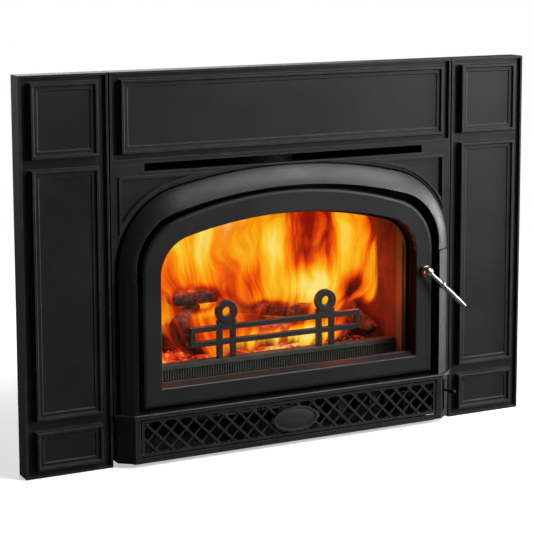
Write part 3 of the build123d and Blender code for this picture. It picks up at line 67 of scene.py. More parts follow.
# ------------------------------------------------------------------ floor and light
# A plain pale floor in a white room. Two soft lights stand at the right and one hangs
# over the front. Two weaker ones stand behind, at the left and high in the middle.
def shader_node(finish, kind, inputs=None, **settings):
    """A node of a finish, with its settings made and its inputs set or linked."""
    made = finish.node_tree.nodes.new("ShaderNode" + kind)
    for key, value in settings.items():
        setattr(made, key, value)
    for key, value in (inputs or {}).items():
        if isinstance(value, bpy.types.NodeSocket):
            finish.node_tree.links.new(value, made.inputs[key])
        else:
            made.inputs[key].default_value = value
    return made


def new_finish(name, metallic=0.0, roughness=0.5):
    """A new material and its main shader."""
    finish = bpy.data.materials.new(name)
    finish.use_nodes = True
    shader = finish.node_tree.nodes["Principled BSDF"]
    shader.inputs["Metallic"].default_value = metallic
    shader.inputs["Roughness"].default_value = roughness
    return finish, shader


def ramp(finish, factor, *stops):
    """Colours laid along a factor, as (place, colour) stops."""
    made = shader_node(finish, "ValToRGB", {"Fac": factor})
    elements = made.color_ramp.elements
    while len(elements) < len(stops):
        elements.new(0.5)
    for element, (place, colour) in zip(elements, stops):
        element.position = place
        element.color = (*colour, 1)
    return made.outputs["Color"]


def spread(finish, factor, low, high, start=0.3, end=0.7):
    """A factor's middle part stretched between two values."""
    inputs = {"Value": factor, "From Min": start, "From Max": end, "To Min": low, "To Max": high}
    return shader_node(finish, "MapRange", inputs).outputs["Result"]


def cloudy(finish, place, scale, detail=3.0, rough=0.55, twist=0.0):
    """Soft noise over the piece, with about scale clouds to the metre."""
    inputs = {"Vector": place, "Scale": scale, "Detail": detail, "Roughness": rough}
    return shader_node(finish, "TexNoise", {**inputs, "Distortion": twist}).outputs["Fac"]


def piece_place(finish, stretch=None):
    """Places on the piece itself, in metres, stretched along its axes if asked."""
    place = shader_node(finish, "TexCoord").outputs["Object"]
    if stretch is None:
        return place
    return shader_node(finish, "Mapping", {"Vector": place, "Scale": stretch}).outputs["Vector"]


def link(finish, output, shader, name):
    """Joins an output to a socket of the main shader."""
    finish.node_tree.links.new(output, shader.inputs[name])


def mix_colour(finish, factor, first, second):
    """Two colours mixed by a factor; each may be a colour or another node's output."""
    made = shader_node(finish, "Mix", {"Factor": factor}, data_type="RGBA")
    first_colour, second_colour, mixed_colour = 6, 7, 2
    for socket, value in ((made.inputs[first_colour], first), (made.inputs[second_colour], second)):
        if isinstance(value, bpy.types.NodeSocket):
            finish.node_tree.links.new(value, socket)
        else:
            socket.default_value = (*value, 1)
    return made.outputs[mixed_colour]


def raised(finish, height, distance, strength=1.0, normal=None):
    """A bump of a height given in metres, on top of another normal if one is given."""
    inputs = {"Height": height, "Distance": distance, "Strength": strength}
    if normal is not None:
        inputs["Normal"] = normal
    return shader_node(finish, "Bump", inputs).outputs["Normal"]


def calc(finish, operation, first, second=0.5):
    """Arithmetic on two values."""
    made = shader_node(finish, "Math", operation=operation)
    for socket, value in zip(made.inputs, (first, second)):
        if isinstance(value, bpy.types.NodeSocket):
            finish.node_tree.links.new(value, socket)
        else:
            socket.default_value = value
    return made.outputs["Value"]


def vector_length(finish, reach):
    """How long a vector is."""
    return shader_node(finish, "VectorMath", {0: reach}, operation="LENGTH").outputs["Value"]


def mesh_piece(name, points, faces, smooth=True):
    """A new mesh object in the scene."""
    mesh = bpy.data.meshes.new(name)
    mesh.from_pydata([tuple(point) for point in points], [], faces)
    mesh.polygons.foreach_set("use_smooth", [smooth] * len(mesh.polygons))
    mesh.validate()
    piece = bpy.data.objects.new(name, mesh)
    bpy.context.scene.collection.objects.link(piece)
    return piece


floor_half = 3.2
floor_fade_start, floor_fade_end = 1.0, 2.4
floor_lift = 0.45
floor_points = [(x, y, 0) for x, y in ((-1, -1), (1, -1), (1, 1), (-1, 1))]
floor = mesh_piece("floor", [Vector(point) * floor_half for point in floor_points], [(0, 1, 2, 3)])
floor_finish, floor_shader = new_finish("pale_floor", roughness=0.7)
floor_place = piece_place(floor_finish)
floor_cloud = cloudy(floor_finish, floor_place, 3)
floor_tone = ramp(floor_finish, floor_cloud, (0.3, (0.90, 0.90, 0.89)), (0.7, (0.92, 0.92, 0.91)))
floor_seen = shader_node(floor_finish, "LightPath").outputs["Is Camera Ray"]
floor_bounce = (0.10, 0.10, 0.10)
floor_colour = mix_colour(floor_finish, floor_seen, floor_bounce, floor_tone)
link(floor_finish, floor_colour, floor_shader, "Base Color")
floor_reach = vector_length(floor_finish, floor_place)
floor_cover = spread(floor_finish, floor_reach, 1.0, 0.0, floor_fade_start, floor_fade_end)
link(floor_finish, floor_cover, floor_shader, "Alpha")
floor_shader.inputs["Emission Color"].default_value = (1, 1, 1, 1)
floor_glow = calc(floor_finish, "MULTIPLY", floor_seen, floor_lift)
link(floor_finish, floor_glow, floor_shader, "Emission Strength")
floor.data.materials.append(floor_finish)

room = bpy.data.worlds.new("room")
room.use_nodes = True
bpy.context.scene.world = room
room_light, room_backdrop = 0.045, 1.0
room_seen = shader_node(room, "LightPath").outputs["Is Camera Ray"]
room_strength = spread(room, room_seen, room_light, room_backdrop, 0.0, 1.0)
room_shader = room.node_tree.nodes["Background"]
room_shader.inputs["Color"].default_value = (1, 1, 1, 1)
room.node_tree.links.new(room_strength, room_shader.inputs["Strength"])
bpy.context.scene.view_settings.view_transform = "Standard"


def soft_light(name, place, aim, size, power):
    """A white rectangular light of a size in metres and a power in watts, turned to its aim."""
    lamp = bpy.data.lights.new(name, "AREA")
    lamp.shape = "RECTANGLE"
    lamp.size, lamp.size_y = size
    lamp.energy = power
    light = bpy.data.objects.new(name, lamp)
    light.location = place
    light.rotation_mode = "QUATERNION"
    light.rotation_quaternion = (Vector(aim) - Vector(place)).to_track_quat("-Z", "Y")
    bpy.context.scene.collection.objects.link(light)


soft_light("key_light", (3.1, -2.9, 1.3), (0.1, 0, 0.5), (1.2, 1.3), 84)
soft_light("side_light", (3.0, -0.45, 0.5), (0.2, 0, 0.35), (0.9, 1.2), 70)
soft_light("top_light", (1.7, -1.7, 2.9), (0, -0.1, 0.3), (1.8, 1.5), 120)
soft_light("left_light", (-2.2, 2.3, 1.0), (0, 0, 0.4), (1.0, 1.4), 13)
soft_light("back_light", (0.6, 3.0, 2.2), (0, 0, 0.3), (2.0, 1.5), 46)


# ------------------------------------------------------------------ pan, casing and fixings
# The insert stands on a folded steel pan. The casing round the firebox is galvanised
# sheet, spot-welded along its folds, and carries the warm air up to the slot over the door.
weld_pitch = 0.08
weld_core, weld_rim = 0.0022, 0.0042
fold_x, fold_y = 0.310, 0.256
flue_y = 0.120
stain_core, stain_rim = 0.095, 0.145
dull_zinc, browned_zinc, burnt_zinc = (0.16, 0.155, 0.145), (0.13, 0.085, 0.055), (0.06, 0.055, 0.05)


def weld_row(finish, across, line, along):
    """How far a spot lies from the nearest weld of a row on a line."""
    shifted = calc(finish, "ADD", along, weld_pitch / 4)
    step = calc(finish, "PINGPONG", shifted, weld_pitch / 2)
    away = calc(finish, "SUBTRACT", across, line)
    return vector_length(finish, shader_node(finish, "CombineXYZ", {"X": away, "Y": step}).outputs[0])


def galvanised_sheet(name, tint):
    """Zinc-coated sheet: crystals, rolling marks, spot welds, and a heat stain round the flue."""
    finish, shader = new_finish(name, metallic=0.6)
    place = piece_place(finish)
    inputs = {"Vector": place, "Scale": 70.0, "Randomness": 1.0}
    crystals = shader_node(finish, "TexVoronoi", inputs).outputs["Color"]
    shade = shader_node(finish, "SeparateColor", {"Color": crystals}).outputs["Red"]
    dull = cloudy(finish, place, 9)
    colour = ramp(finish, shade, (0.0, [0.80 * c for c in tint]), (1.0, tint))
    dulled = spread(finish, dull, 0.0, 0.5, 0.5, 0.75)
    stained = mix_colour(finish, dulled, colour, dull_zinc)
    axes = shader_node(finish, "SeparateXYZ", {"Vector": place})
    x, y, z = (axes.outputs[letter] for letter in "XYZ")
    folds = ((calc(finish, "ABSOLUTE", x), fold_x, z), (y, fold_y, z), (y, fold_y, x))
    rows = [weld_row(finish, *fold) for fold in folds]
    near = calc(finish, "MINIMUM", calc(finish, "MINIMUM", rows[0], rows[1]), rows[2])
    weld = spread(finish, near, 1.0, 0.0, weld_core, weld_rim)
    from_flue = calc(finish, "SUBTRACT", y, flue_y)
    flue_reach = vector_length(finish, shader_node(finish, "CombineXYZ", {"X": x, "Y": from_flue}).outputs[0])
    heated = spread(finish, flue_reach, 0.75, 0.0, stain_core, stain_rim)
    tinted = mix_colour(finish, heated, stained, browned_zinc)
    welded = mix_colour(finish, calc(finish, "MULTIPLY", weld, 0.7), tinted, burnt_zinc)
    link(finish, welded, shader, "Base Color")
    link(finish, spread(finish, shade, 0.34, 0.52, 0, 1), shader, "Roughness")
    rolled = cloudy(finish, piece_place(finish, (30, 900, 900)), 1)
    sunk = raised(finish, calc(finish, "SUBTRACT", 1.0, weld), 0.0012, 0.8)
    link(finish, raised(finish, rolled, 0.0002, 0.3, sunk), shader, "Normal")
    return finish


def soften_edges(node, width):
    """Rounds the sharp edges of a CAD node's mesh as casting or folding leaves them."""
    same_place = 0.00002
    sharp_angle = math.radians(32)
    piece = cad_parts[node]
    piece.modifiers.new("weld", "WELD").merge_threshold = same_place
    bevel = piece.modifiers.new("edge", "BEVEL")
    bevel.width = width
    bevel.segments = 2
    bevel.limit_method = "ANGLE"
    bevel.angle_limit = sharp_angle
    bevel.miter_outer = "MITER_ARC"


def finish_nodes(finish, *nodes, edge=None):
    """Gives CAD nodes a finish in place of their plain one, and edges rounded by a width."""
    for node in nodes:
        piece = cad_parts[node]
        piece.data.materials.clear()
        piece.data.materials.append(finish)
        if edge:
            soften_edges(node, edge)


# The zinc is tinted far darker than fresh galvanising, as painted shade for the casing seen in the dark
# behind the slot and grille.
shaded_sheet_finish = galvanised_sheet("galvanised_sheet", (0.34, 0.35, 0.36))
finish_nodes(shaded_sheet_finish, "base_pan", "casing_sides", "casing_back", "casing_top")


def fixing_steel(name, colour, roughness):
    """Plated or blackened steel, faintly mottled and scuffed."""
    finish, shader = new_finish(name, metallic=0.9)
    place = piece_place(finish)
    mottle = cloudy(finish, place, 160, 4)
    link(finish, ramp(finish, mottle, (0.3, [0.7 * c for c in colour]), (0.7, colour)), shader, "Base Color")
    link(finish, spread(finish, mottle, roughness - 0.08, roughness + 0.12), shader, "Roughness")
    scuffs = cloudy(finish, place, 1400, 2)
    link(finish, raised(finish, scuffs, 0.0001, 0.4), shader, "Normal")
    return finish


small_edge, sheet_edge = 0.0005, 0.0006
plated_finish = fixing_steel("plated_steel", (0.46, 0.46, 0.45), 0.34)
blackened_finish = fixing_steel("blackened_steel", (0.022, 0.022, 0.023), 0.46)
plated_nodes = ("levelling_bolts", "shell_spacers", "frame_screws", "surround_bolts")
finish_nodes(plated_finish, *plated_nodes, edge=small_edge)
finish_nodes(blackened_finish, "pivot_pins", edge=small_edge)


# ------------------------------------------------------------------ firebox
# Welded iron plates hold the fire. The flue collar is a casting bolted over the hole in
# the top plate. Soot blackens the top, the collar and the airwash channel, and their
# near-black is also painted shade for the dark inside seen through the slot over the door.
# Heat greys the other plates, and ash dusts the cheeks.
def cast_iron(name, colour, roughness=0.46, rubbed=(0.05, 0.05, 0.052), ash=None, shine=0.42):
    """Sand-cast iron under stove paint: a fine skin, low waves, and edges rubbed brighter."""
    finish, shader = new_finish(name)
    place = piece_place(finish)
    broad = cloudy(finish, place, 11, 4)
    skin = cloudy(finish, place, 520, 3, 0.7)
    grit = shader_node(finish, "TexVoronoi", {"Vector": place, "Scale": 330.0}).outputs["Distance"]
    darker, lighter = [0.86 * c for c in colour], [1.12 * c for c in colour]
    base = ramp(finish, broad, (0.32, darker), (0.68, lighter))
    if ash is not None:
        # Pale patches of the given colour; on the ash dam they are ash dust and also painted reflection of
        # the fire.
        dust_and_reflection_patches = spread(finish, cloudy(finish, place, 60, 5, 0.65), 0.0, 0.9, 0.45, 0.72)
        base = mix_colour(finish, dust_and_reflection_patches, base, ash)
    rub_width = 0.0022
    rounded = shader_node(finish, "Bevel", {"Radius": rub_width}, samples=4).outputs["Normal"]
    flat = shader_node(finish, "NewGeometry").outputs["Normal"]
    meet = shader_node(finish, "VectorMath", {0: rounded, 1: flat}, operation="DOT_PRODUCT")
    edge = spread(finish, meet.outputs["Value"], 1.0, 0.0, 0.90, 0.995)
    patchy = spread(finish, cloudy(finish, place, 45, 3), 0.35, 1.0, 0.4, 0.65)
    worn = calc(finish, "MULTIPLY", edge, patchy)
    link(finish, mix_colour(finish, worn, base, rubbed), shader, "Base Color")
    link(finish, spread(finish, broad, roughness - 0.05, roughness + 0.07), shader, "Roughness")
    waves = raised(finish, cloudy(finish, place, 38, 2), 0.0006, 0.35)
    pits = raised(finish, grit, 0.00025, 0.28, waves)
    link(finish, raised(finish, skin, 0.0002, 0.4, pits), shader, "Normal")
    shader.inputs["Specular IOR Level"].default_value = shine
    return finish


cast_edge, moulded_edge = 0.0012, 0.0028
# Soot black, made darker still as painted shade for the inside seen through the slot.
soot_and_shade_finish = cast_iron("soot_and_shade_iron", (0.009, 0.009, 0.009), 0.66, (0.03, 0.03, 0.03))
finish_nodes(soot_and_shade_finish, "firebox_top", "airwash_channel")
finish_nodes(soot_and_shade_finish, "flue_collar", edge=cast_edge)
greyed_finish = cast_iron("heat_greyed_iron", (0.035, 0.037, 0.034), 0.58, (0.09, 0.09, 0.085))
finish_nodes(greyed_finish, "firebox_floor", "firebox_sides", "firebox_back")
dusted_finish = cast_iron("ash_dusted_iron", (0.13, 0.12, 0.12), 0.7, (0.16, 0.15, 0.15))
finish_nodes(dusted_finish, "side_cheeks")


# ------------------------------------------------------------------ fire bricks and baffle
# Split refractory bricks line the floor, the sides and the back. Soot darkens them and
# the fire shows red on them. The baffle over the fire is a pale insulating board.
def refractory(name, pale, sooty):
    """Pressed refractory: speckled grit, a rough face and clouds of soot."""
    finish, shader = new_finish(name, roughness=0.9)
    place = piece_place(finish)
    speckle = shader_node(finish, "TexVoronoi", {"Vector": place, "Scale": 260.0}).outputs["Distance"]
    body = ramp(finish, speckle, (0.05, [0.6 * c for c in pale]), (0.5, pale))
    soot = spread(finish, cloudy(finish, place, 13, 5, 0.6), 0.25, 1.0, 0.35, 0.65)
    link(finish, mix_colour(finish, soot, body, sooty), shader, "Base Color")
    rough_face = raised(finish, cloudy(finish, place, 240, 4, 0.7), 0.0012, 0.7)
    link(finish, raised(finish, speckle, 0.0006, 0.5, rough_face), shader, "Normal")
    return finish


brick_finish = refractory("fire_brick", (0.20, 0.055, 0.03), (0.04, 0.014, 0.010))
finish_nodes(brick_finish, "floor_bricks", "side_bricks", "back_bricks", edge=0.0015)
board_finish = refractory("insulating_board", (0.46, 0.41, 0.33), (0.12, 0.10, 0.08))
finish_nodes(board_finish, "baffle")

# ------------------------------------------------------------------ ash dam and log retainer
# The ribbed iron dam stands inside the glass and feeds air to the fire. The retainer
# with its two ring heads is one casting that stands on the dam.
# The dam's pale patches are ash dust and also painted reflection of the fire's light on its cap.
dam_ash_and_reflection = (0.06, 0.065, 0.055)
dam_finish = cast_iron("ash_and_reflection_greyed_iron", (0.030, 0.035, 0.029), 0.55, (0.08, 0.08, 0.075), ash=dam_ash_and_reflection)
finish_nodes(dam_finish, "ash_dam", edge=small_edge)
retainer_finish = cast_iron("retainer_iron", (0.014, 0.015, 0.018), 0.42, (0.05, 0.05, 0.055))
finish_nodes(retainer_finish, "log_retainer", edge=moulded_edge)


# ------------------------------------------------------------------ embers
# A bed of red embers and ash lies on the floor bricks behind the dam. Each ember is a
# broken lump of charcoal, brightest in the middle of the bed and dull at its right end.
def soft_patch(finish, place, centre, size):
    """A soft round patch in X and Z: one at its centre, nothing beyond its size."""
    scale = (1 / size[0], 0, 1 / size[1])
    shift = (-centre[0] / size[0], 0, -centre[1] / size[1])
    near = shader_node(finish, "Mapping", {"Vector": place, "Location": shift, "Scale": scale})
    reach = vector_length(finish, near.outputs["Vector"])
    inputs = {"Value": reach, "To Min": 1.0, "To Max": 0.0}
    return shader_node(finish, "MapRange", inputs, interpolation_type="SMOOTHSTEP").outputs["Result"]


def added_spot(finish, value, place, spot, operation="ADD"):
    """A value raised, or lowered, in a soft patch given as its centre, size and amount."""
    centre, size, amount = spot
    change = calc(finish, "MULTIPLY", soft_patch(finish, place, centre, size), amount)
    return calc(finish, operation, value, change)


def glowing_coal(name, hot, dull, glow, cold, crack_scale, ash, cold_spots=()):
    """Charcoal that glows in its cracks and hollows under a crust of grey ash."""
    finish, shader = new_finish(name, roughness=0.85)
    place = piece_place(finish)
    heat = cloudy(finish, place, 24, 3)
    fine = cloudy(finish, place, crack_scale * 3, 4, 0.7)
    mixed = calc(finish, "ADD", calc(finish, "MULTIPLY", heat, 0.7), calc(finish, "MULTIPLY", fine, 0.3))
    mixed = calc(finish, "SUBTRACT", mixed, cold)
    hot_middle = ((0.02, 0.16), (0.20, 0.20), 0.10)
    mixed = added_spot(finish, mixed, place, hot_middle)
    for spot in cold_spots:
        mixed = added_spot(finish, mixed, place, spot, "SUBTRACT")
    char, soot, brightest = (0.012, 0.009, 0.008), (0.05, 0.035, 0.03), (1.0, 0.62, 0.16)
    crust = ramp(finish, fine, (0.35, char), (0.50, soot), (0.64, ash))
    link(finish, crust, shader, "Base Color")
    light = ramp(finish, mixed, (0.38, (0, 0, 0)), (0.46, dull), (0.56, hot), (0.68, brightest))
    link(finish, light, shader, "Emission Color")
    shader.inputs["Emission Strength"].default_value = glow
    link(finish, raised(finish, fine, 0.002, 0.8), shader, "Normal")
    return finish


ember_draw = random.Random(11)
bed_low, bed_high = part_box("ember_bed")
lump_ends = [(1, 0, 0), (-1, 0, 0), (0, 1, 0), (0, -1, 0), (0, 0, 1), (0, 0, -1)]
lump_corners = [(a, b, c) for a in (-1, 1) for b in (-1, 1) for c in (-1, 1)]
unit_lump = [Vector(point).normalized() for point in lump_ends + lump_corners]
lump_faces = []
for corner, (a, b, c) in enumerate(lump_corners, len(lump_ends)):
    ends = [0 if a > 0 else 1, 2 if b > 0 else 3, 4 if c > 0 else 5]
    if a * b * c < 0:
        ends.reverse()
    lump_faces += [(corner, ends[k - 1], ends[k]) for k in range(3)]
ember_points, ember_faces = [], []
ember_lumps = 620
bank_x, bank_y = 0.03, 0.02
for _ in range(ember_lumps):
    size = ember_draw.choice((ember_draw.uniform(0.006, 0.013), ember_draw.uniform(0.012, 0.021)))
    x = ember_draw.uniform(bed_low.x + size, bed_high.x - size)
    y = ember_draw.uniform(bed_low.y + size, bed_high.y - size)
    in_x = min(x - bed_low.x, bed_high.x - x) / bank_x
    in_y = min(y - bed_low.y, bed_high.y - y) / bank_y
    z = bed_low.z + 0.3 * size + (bed_high.z - bed_low.z - size) * max(0.0, min(1.0, in_x, in_y))
    turn_angle = ember_draw.uniform(0, 6.28)
    turn_axis = Vector([ember_draw.gauss(0, 1) for _ in range(3)]).normalized()
    turn = Matrix.Rotation(turn_angle, 3, turn_axis)
    shape = Vector([size * ember_draw.uniform(0.55, 1.0) for _ in range(3)])
    start = len(ember_points)
    for direction in unit_lump:
        bulge = ember_draw.uniform(0.72, 1.0)
        corner = turn @ Vector([bulge * d * s for d, s in zip(direction, shape)])
        ember_points.append(Vector((x, y, z)) + corner)
    ember_faces += [tuple(start + k for k in face) for face in lump_faces]
embers = mesh_piece("embers", ember_points, ember_faces, smooth=False)
ember_finish = glowing_coal(
    "ember_coal",
    hot=(0.95, 0.07, 0.006),
    dull=(0.42, 0.010, 0.004),
    glow=0.9,
    cold=0.0,
    crack_scale=55.0,
    ash=(0.42, 0.31, 0.28),
    cold_spots=[((0.20, 0.16), (0.11, 0.2), 0.17)],
)
embers.data.materials.append(ember_finish)
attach(embers, "root")
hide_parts("ember_bed")


# ------------------------------------------------------------------ logs
# Split and round logs, burnt through at their ends. Two lie on the embers, two across
# them, one on top, and one leans at the right. Fire shows in the cracks of their bark.
def charred_log(start, end, radius, seed):
    """A log between two points, with ridged bark, a slight swell and broken ends."""
    rings, sides, squash = 60, 44, 0.92
    along = Vector(end) - Vector(start)
    length = along.length
    along.normalize()
    across = along.cross(Vector((0, 0, 1))).normalized()
    up = across.cross(along)
    points, faces = [], []
    shift = Vector((seed * 7.3, seed * 3.1, seed * 1.7))
    for ring in range(rings + 1):
        run = ring / rings
        end_fall = min(run, 1 - run) * length
        taper = min(1.0, 0.72 + 0.28 * math.sqrt(min(1.0, end_fall / (0.6 * radius))))
        for side in range(sides):
            angle = 2 * math.pi * side / sides
            aside, high = math.cos(angle), math.sin(angle)
            swell = noise.noise(Vector((aside * 2.2, high * 2.2, run * length * 14)) + shift)
            ridge = noise.noise(Vector((aside * 7, high * 7, run * length * 22)) + shift)
            block = abs(noise.noise(Vector((aside * 4, high * 4, run * length * 60)) - shift))
            reach = radius * taper * (0.90 + 0.07 * swell + 0.05 * ridge - 0.05 * block)
            end_jag = 0.35 * radius * noise.noise(Vector((aside * 3, high * 3, 5 * seed + round(run))))
            place = run * length
            if ring in (0, rings):
                place += end_jag * (1 if ring == 0 else -1) * 0.6
            point = Vector(start) + along * max(0.001, min(length - 0.001, place))
            points.append(point + across * aside * reach + up * high * reach * squash)
    for ring in range(rings):
        for side in range(sides):
            after = (side + 1) % sides
            row, above = ring * sides, (ring + 1) * sides
            faces.append((row + side, row + after, above + after, above + side))
    for first, way in ((0, 1), (rings * sides, -1)):
        centre = sum((points[first + k] for k in range(sides)), Vector()) / sides
        inner = len(points)
        for side in range(sides):
            dip = 0.004 * noise.noise(Vector((side * 0.9, seed, first)))
            points.append(centre.lerp(points[first + side], 0.5) + along * way * (0.003 + dip))
        hub = len(points)
        points.append(centre + along * way * 0.005)
        for side in range(sides):
            after = (side + 1) % sides
            rim = (first + after, first + side, inner + side, inner + after)
            cap = (inner + after, inner + side, hub)
            faces += [rim, cap] if way > 0 else [rim[::-1], cap[::-1]]
    return points, faces


# Each log's name, the middles of its two ends, its radius and its seed.
log_low = bed_high.z + 0.0003
log_runs = [
    ("back_log", (-0.190, 0.145, log_low + 0.030), (0.235, 0.145, log_low + 0.030), 0.030, 1),
    ("front_log", (-0.170, 0.076, log_low + 0.027), (0.185, 0.076, log_low + 0.027), 0.027, 2),
    ("left_cross_log", (-0.195, 0.050, 0.2256), (-0.110, 0.160, 0.2352), 0.018, 3),
    ("right_cross_log", (0.110, 0.050, 0.2256), (-0.060, 0.160, 0.2352), 0.018, 4),
    ("top_log", (-0.185, 0.1105, 0.2692), (0.045, 0.1105, 0.2692), 0.020, 5),
    ("leaning_log", (0.238, 0.052, 0.1718), (0.1646, 0.165, 0.2687), 0.020, 6),
]
log_finish = glowing_coal(
    "charred_log",
    hot=(0.9, 0.10, 0.008),
    dull=(0.16, 0.006, 0.002),
    glow=0.6,
    cold=0.115,
    crack_scale=20.0,
    ash=(0.11, 0.09, 0.08),
)
burning_logs = []
for name, start, end, radius, seed in log_runs:
    log = mesh_piece(name, *charred_log(start, end, radius, seed))
    log.data.materials.append(log_finish)
    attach(log, "root")
    burning_logs.append(log)
for log in burning_logs:
    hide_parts("fire_logs")


# ------------------------------------------------------------------ flames
# The flames rise from the logs to the baffle in folded curtains that glow by themselves,
# pale yellow over the middle of the fire and orange to red at the sides and in the gap.
def flame_finish(name, hot_spots, cool_spots, level, thinness, clearing):
    """Flame: a glow in upward streaks, hotter and cooler in places, that thins out to nothing."""
    finish = bpy.data.materials.new(name)
    finish.use_nodes = True
    finish.node_tree.nodes.remove(finish.node_tree.nodes["Principled BSDF"])
    sheet = shader_node(finish, "UVMap", uv_map="sheet").outputs["UV"]
    parts = shader_node(finish, "SeparateXYZ", {"Vector": sheet})
    across, up = parts.outputs["X"], parts.outputs["Y"]
    place = piece_place(finish)
    sway = cloudy(finish, piece_place(finish, (7, 0, 6)), 1, 2, 0.45)
    drift = calc(finish, "MULTIPLY", calc(finish, "SUBTRACT", sway, 0.5), 0.11)
    axes = shader_node(finish, "SeparateXYZ", {"Vector": place})
    fan_foot, fan_rise = 0.48, 2.6
    fan = calc(finish, "ADD", calc(finish, "MULTIPLY", axes.outputs["Z"], fan_rise), fan_foot)
    fanned = calc(finish, "ADD", calc(finish, "DIVIDE", axes.outputs["X"], fan), drift)
    moved = shader_node(finish, "CombineXYZ", {"X": fanned, "Y": axes.outputs["Y"], "Z": axes.outputs["Z"]})
    drawn_out = {"Vector": moved.outputs[0], "Scale": (1.0, 0.4, 0.105)}
    stretched = shader_node(finish, "Mapping", drawn_out).outputs["Vector"]
    broad = cloudy(finish, stretched, 19, 2, 0.5, 0.25)
    fine = cloudy(finish, stretched, 75, 3, 0.6)
    silk = calc(finish, "ADD", calc(finish, "MULTIPLY", broad, 1.35), calc(finish, "MULTIPLY", fine, 0.85))
    silk_mean = 1.1
    streaks = calc(finish, "SUBTRACT", silk, silk_mean)
    heat = calc(finish, "ADD", streaks, level)
    cover = calc(finish, "ADD", calc(finish, "MULTIPLY", streaks, 1.2), 0.85)
    for spot in hot_spots:
        heat = added_spot(finish, heat, place, spot)
    for centre, size, amount in cool_spots:
        spot = soft_patch(finish, place, centre, size)
        heat = calc(finish, "SUBTRACT", heat, calc(finish, "MULTIPLY", spot, amount))
        cover = calc(finish, "SUBTRACT", cover, calc(finish, "MULTIPLY", spot, clearing * amount))
    colour = ramp(
        finish,
        heat,
        (0.05, (0.26, 0.007, 0.001)),
        (0.22, (0.66, 0.035, 0.002)),
        (0.38, (0.96, 0.14, 0.001)),
        (0.54, (1.0, 0.33, 0.003)),
        (0.74, (1.0, 0.57, 0.02)),
        (0.98, (1.0, 0.80, 0.19)),
    )
    glow = shader_node(finish, "Emission", {"Color": colour, "Strength": 1.0})
    clear = shader_node(finish, "BsdfTransparent")
    raggedness = calc(finish, "MULTIPLY", calc(finish, "SUBTRACT", broad, 0.5), 0.7)
    foot = spread(finish, calc(finish, "ADD", up, raggedness), 0.0, 1.0, 0.02, 0.34)
    off_middle = calc(finish, "SUBTRACT", calc(finish, "MULTIPLY", across, 2.0), 1.0)
    to_side = calc(finish, "SUBTRACT", 1.0, calc(finish, "ABSOLUTE", off_middle))
    margin = spread(finish, to_side, 0.0, 1.0, 0.0, 0.07)
    crown = spread(finish, up, 1.0, 0.25, 0.85, 1.0)
    shape = calc(finish, "MULTIPLY", calc(finish, "MULTIPLY", foot, margin), crown)
    amount = spread(finish, calc(finish, "MULTIPLY", shape, cover), 0.0, 1.0, thinness, thinness + 0.5)
    joined = shader_node(finish, "MixShader", {"Fac": amount, 1: clear.outputs[0], 2: glow.outputs[0]})
    output = finish.node_tree.nodes["Material Output"]
    finish.node_tree.links.new(joined.outputs[0], output.inputs["Surface"])
    return finish


def flame_curtain(name, finish, start, end, heights, fold):
    """A folded curtain of flame over a line from start to end, each (x, y)."""
    columns, rows = 90, 26
    folds, drift = 34, 2.2
    points, faces, sheet_places = [], [], []
    low, high = heights
    for row in range(rows + 1):
        up = row / rows
        for column in range(columns + 1):
            across = column / columns
            x = start[0] + (end[0] - start[0]) * across
            y = start[1] + (end[1] - start[1]) * across
            y += fold * math.sin(folds * across + drift * up + start[1] * 90) * (0.4 + 0.6 * up)
            points.append((x, y, low + (high - low) * up))
            sheet_places.append((across, up))
    for row in range(rows):
        for column in range(columns):
            corner = row * (columns + 1) + column
            faces.append((corner, corner + 1, corner + columns + 2, corner + columns + 1))
    flames = mesh_piece(name, points, faces)
    layer = flames.data.uv_layers.new(name="sheet")
    for loop in flames.data.loops:
        layer.data[loop.index].uv = sheet_places[loop.vertex_index]
    flames.data.materials.append(finish)
    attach(flames, "root")


flame_top = 0.431
back_finish = flame_finish(
    "back_flame",
    hot_spots=[((-0.10, 0.37), (0.18, 0.15), 0.24), ((0.08, 0.31), (0.07, 0.12), 0.22)],
    cool_spots=[
        ((0.150, 0.380), (0.075, 0.135), 0.29),
        ((0.150, 0.29), (0.035, 0.06), 0.20),
        ((0.25, 0.36), (0.05, 0.2), 0.2),
    ],
    level=0.44,
    thinness=0.0,
    clearing=0.3,
)
flame_curtain("back_flames", back_finish, (-0.255, 0.178), (0.255, 0.178), (0.175, flame_top), 0.006)
middle_finish = flame_finish(
    "middle_flame",
    hot_spots=[
        ((0.095, 0.275), (0.10, 0.055), 0.45),
        ((-0.11, 0.38), (0.17, 0.10), 0.33),
        ((0.03, 0.35), (0.05, 0.12), 0.22),
    ],
    cool_spots=[
        ((0.113, 0.41), (0.068, 0.140), 1.0),
        ((0.193, 0.265), (0.045, 0.050), 0.55),
        ((0.248, 0.415), (0.045, 0.110), 0.60),
        ((0.197, 0.205), (0.065, 0.050), 1.1),
        ((-0.132, 0.266), (0.070, 0.038), 1.1),
        ((0.010, 0.232), (0.060, 0.030), 0.9),
        ((-0.02, 0.29), (0.035, 0.06), 0.28),
    ],
    level=0.44,
    thinness=0.08,
    clearing=1.4,
)
middle_span = ((-0.245, 0.098), (0.250, 0.052))
flame_curtain("middle_flames", middle_finish, *middle_span, (0.190, flame_top), 0.007)
low_finish = flame_finish(
    "low_flame",
    hot_spots=[((0.03, 0.185), (0.17, 0.03), 0.40)],
    cool_spots=[
        ((0.21, 0.2), (0.09, 0.2), 0.9),
        ((-0.18, 0.20), (0.12, 0.09), 0.50),
        ((0.04, 0.225), (0.12, 0.035), 0.8),
    ],
    level=0.40,
    thinness=0.22,
    clearing=1.0,
)
flame_curtain("low_flames", low_finish, (-0.235, 0.040), (0.200, 0.040), (0.158, 0.250), 0.004)

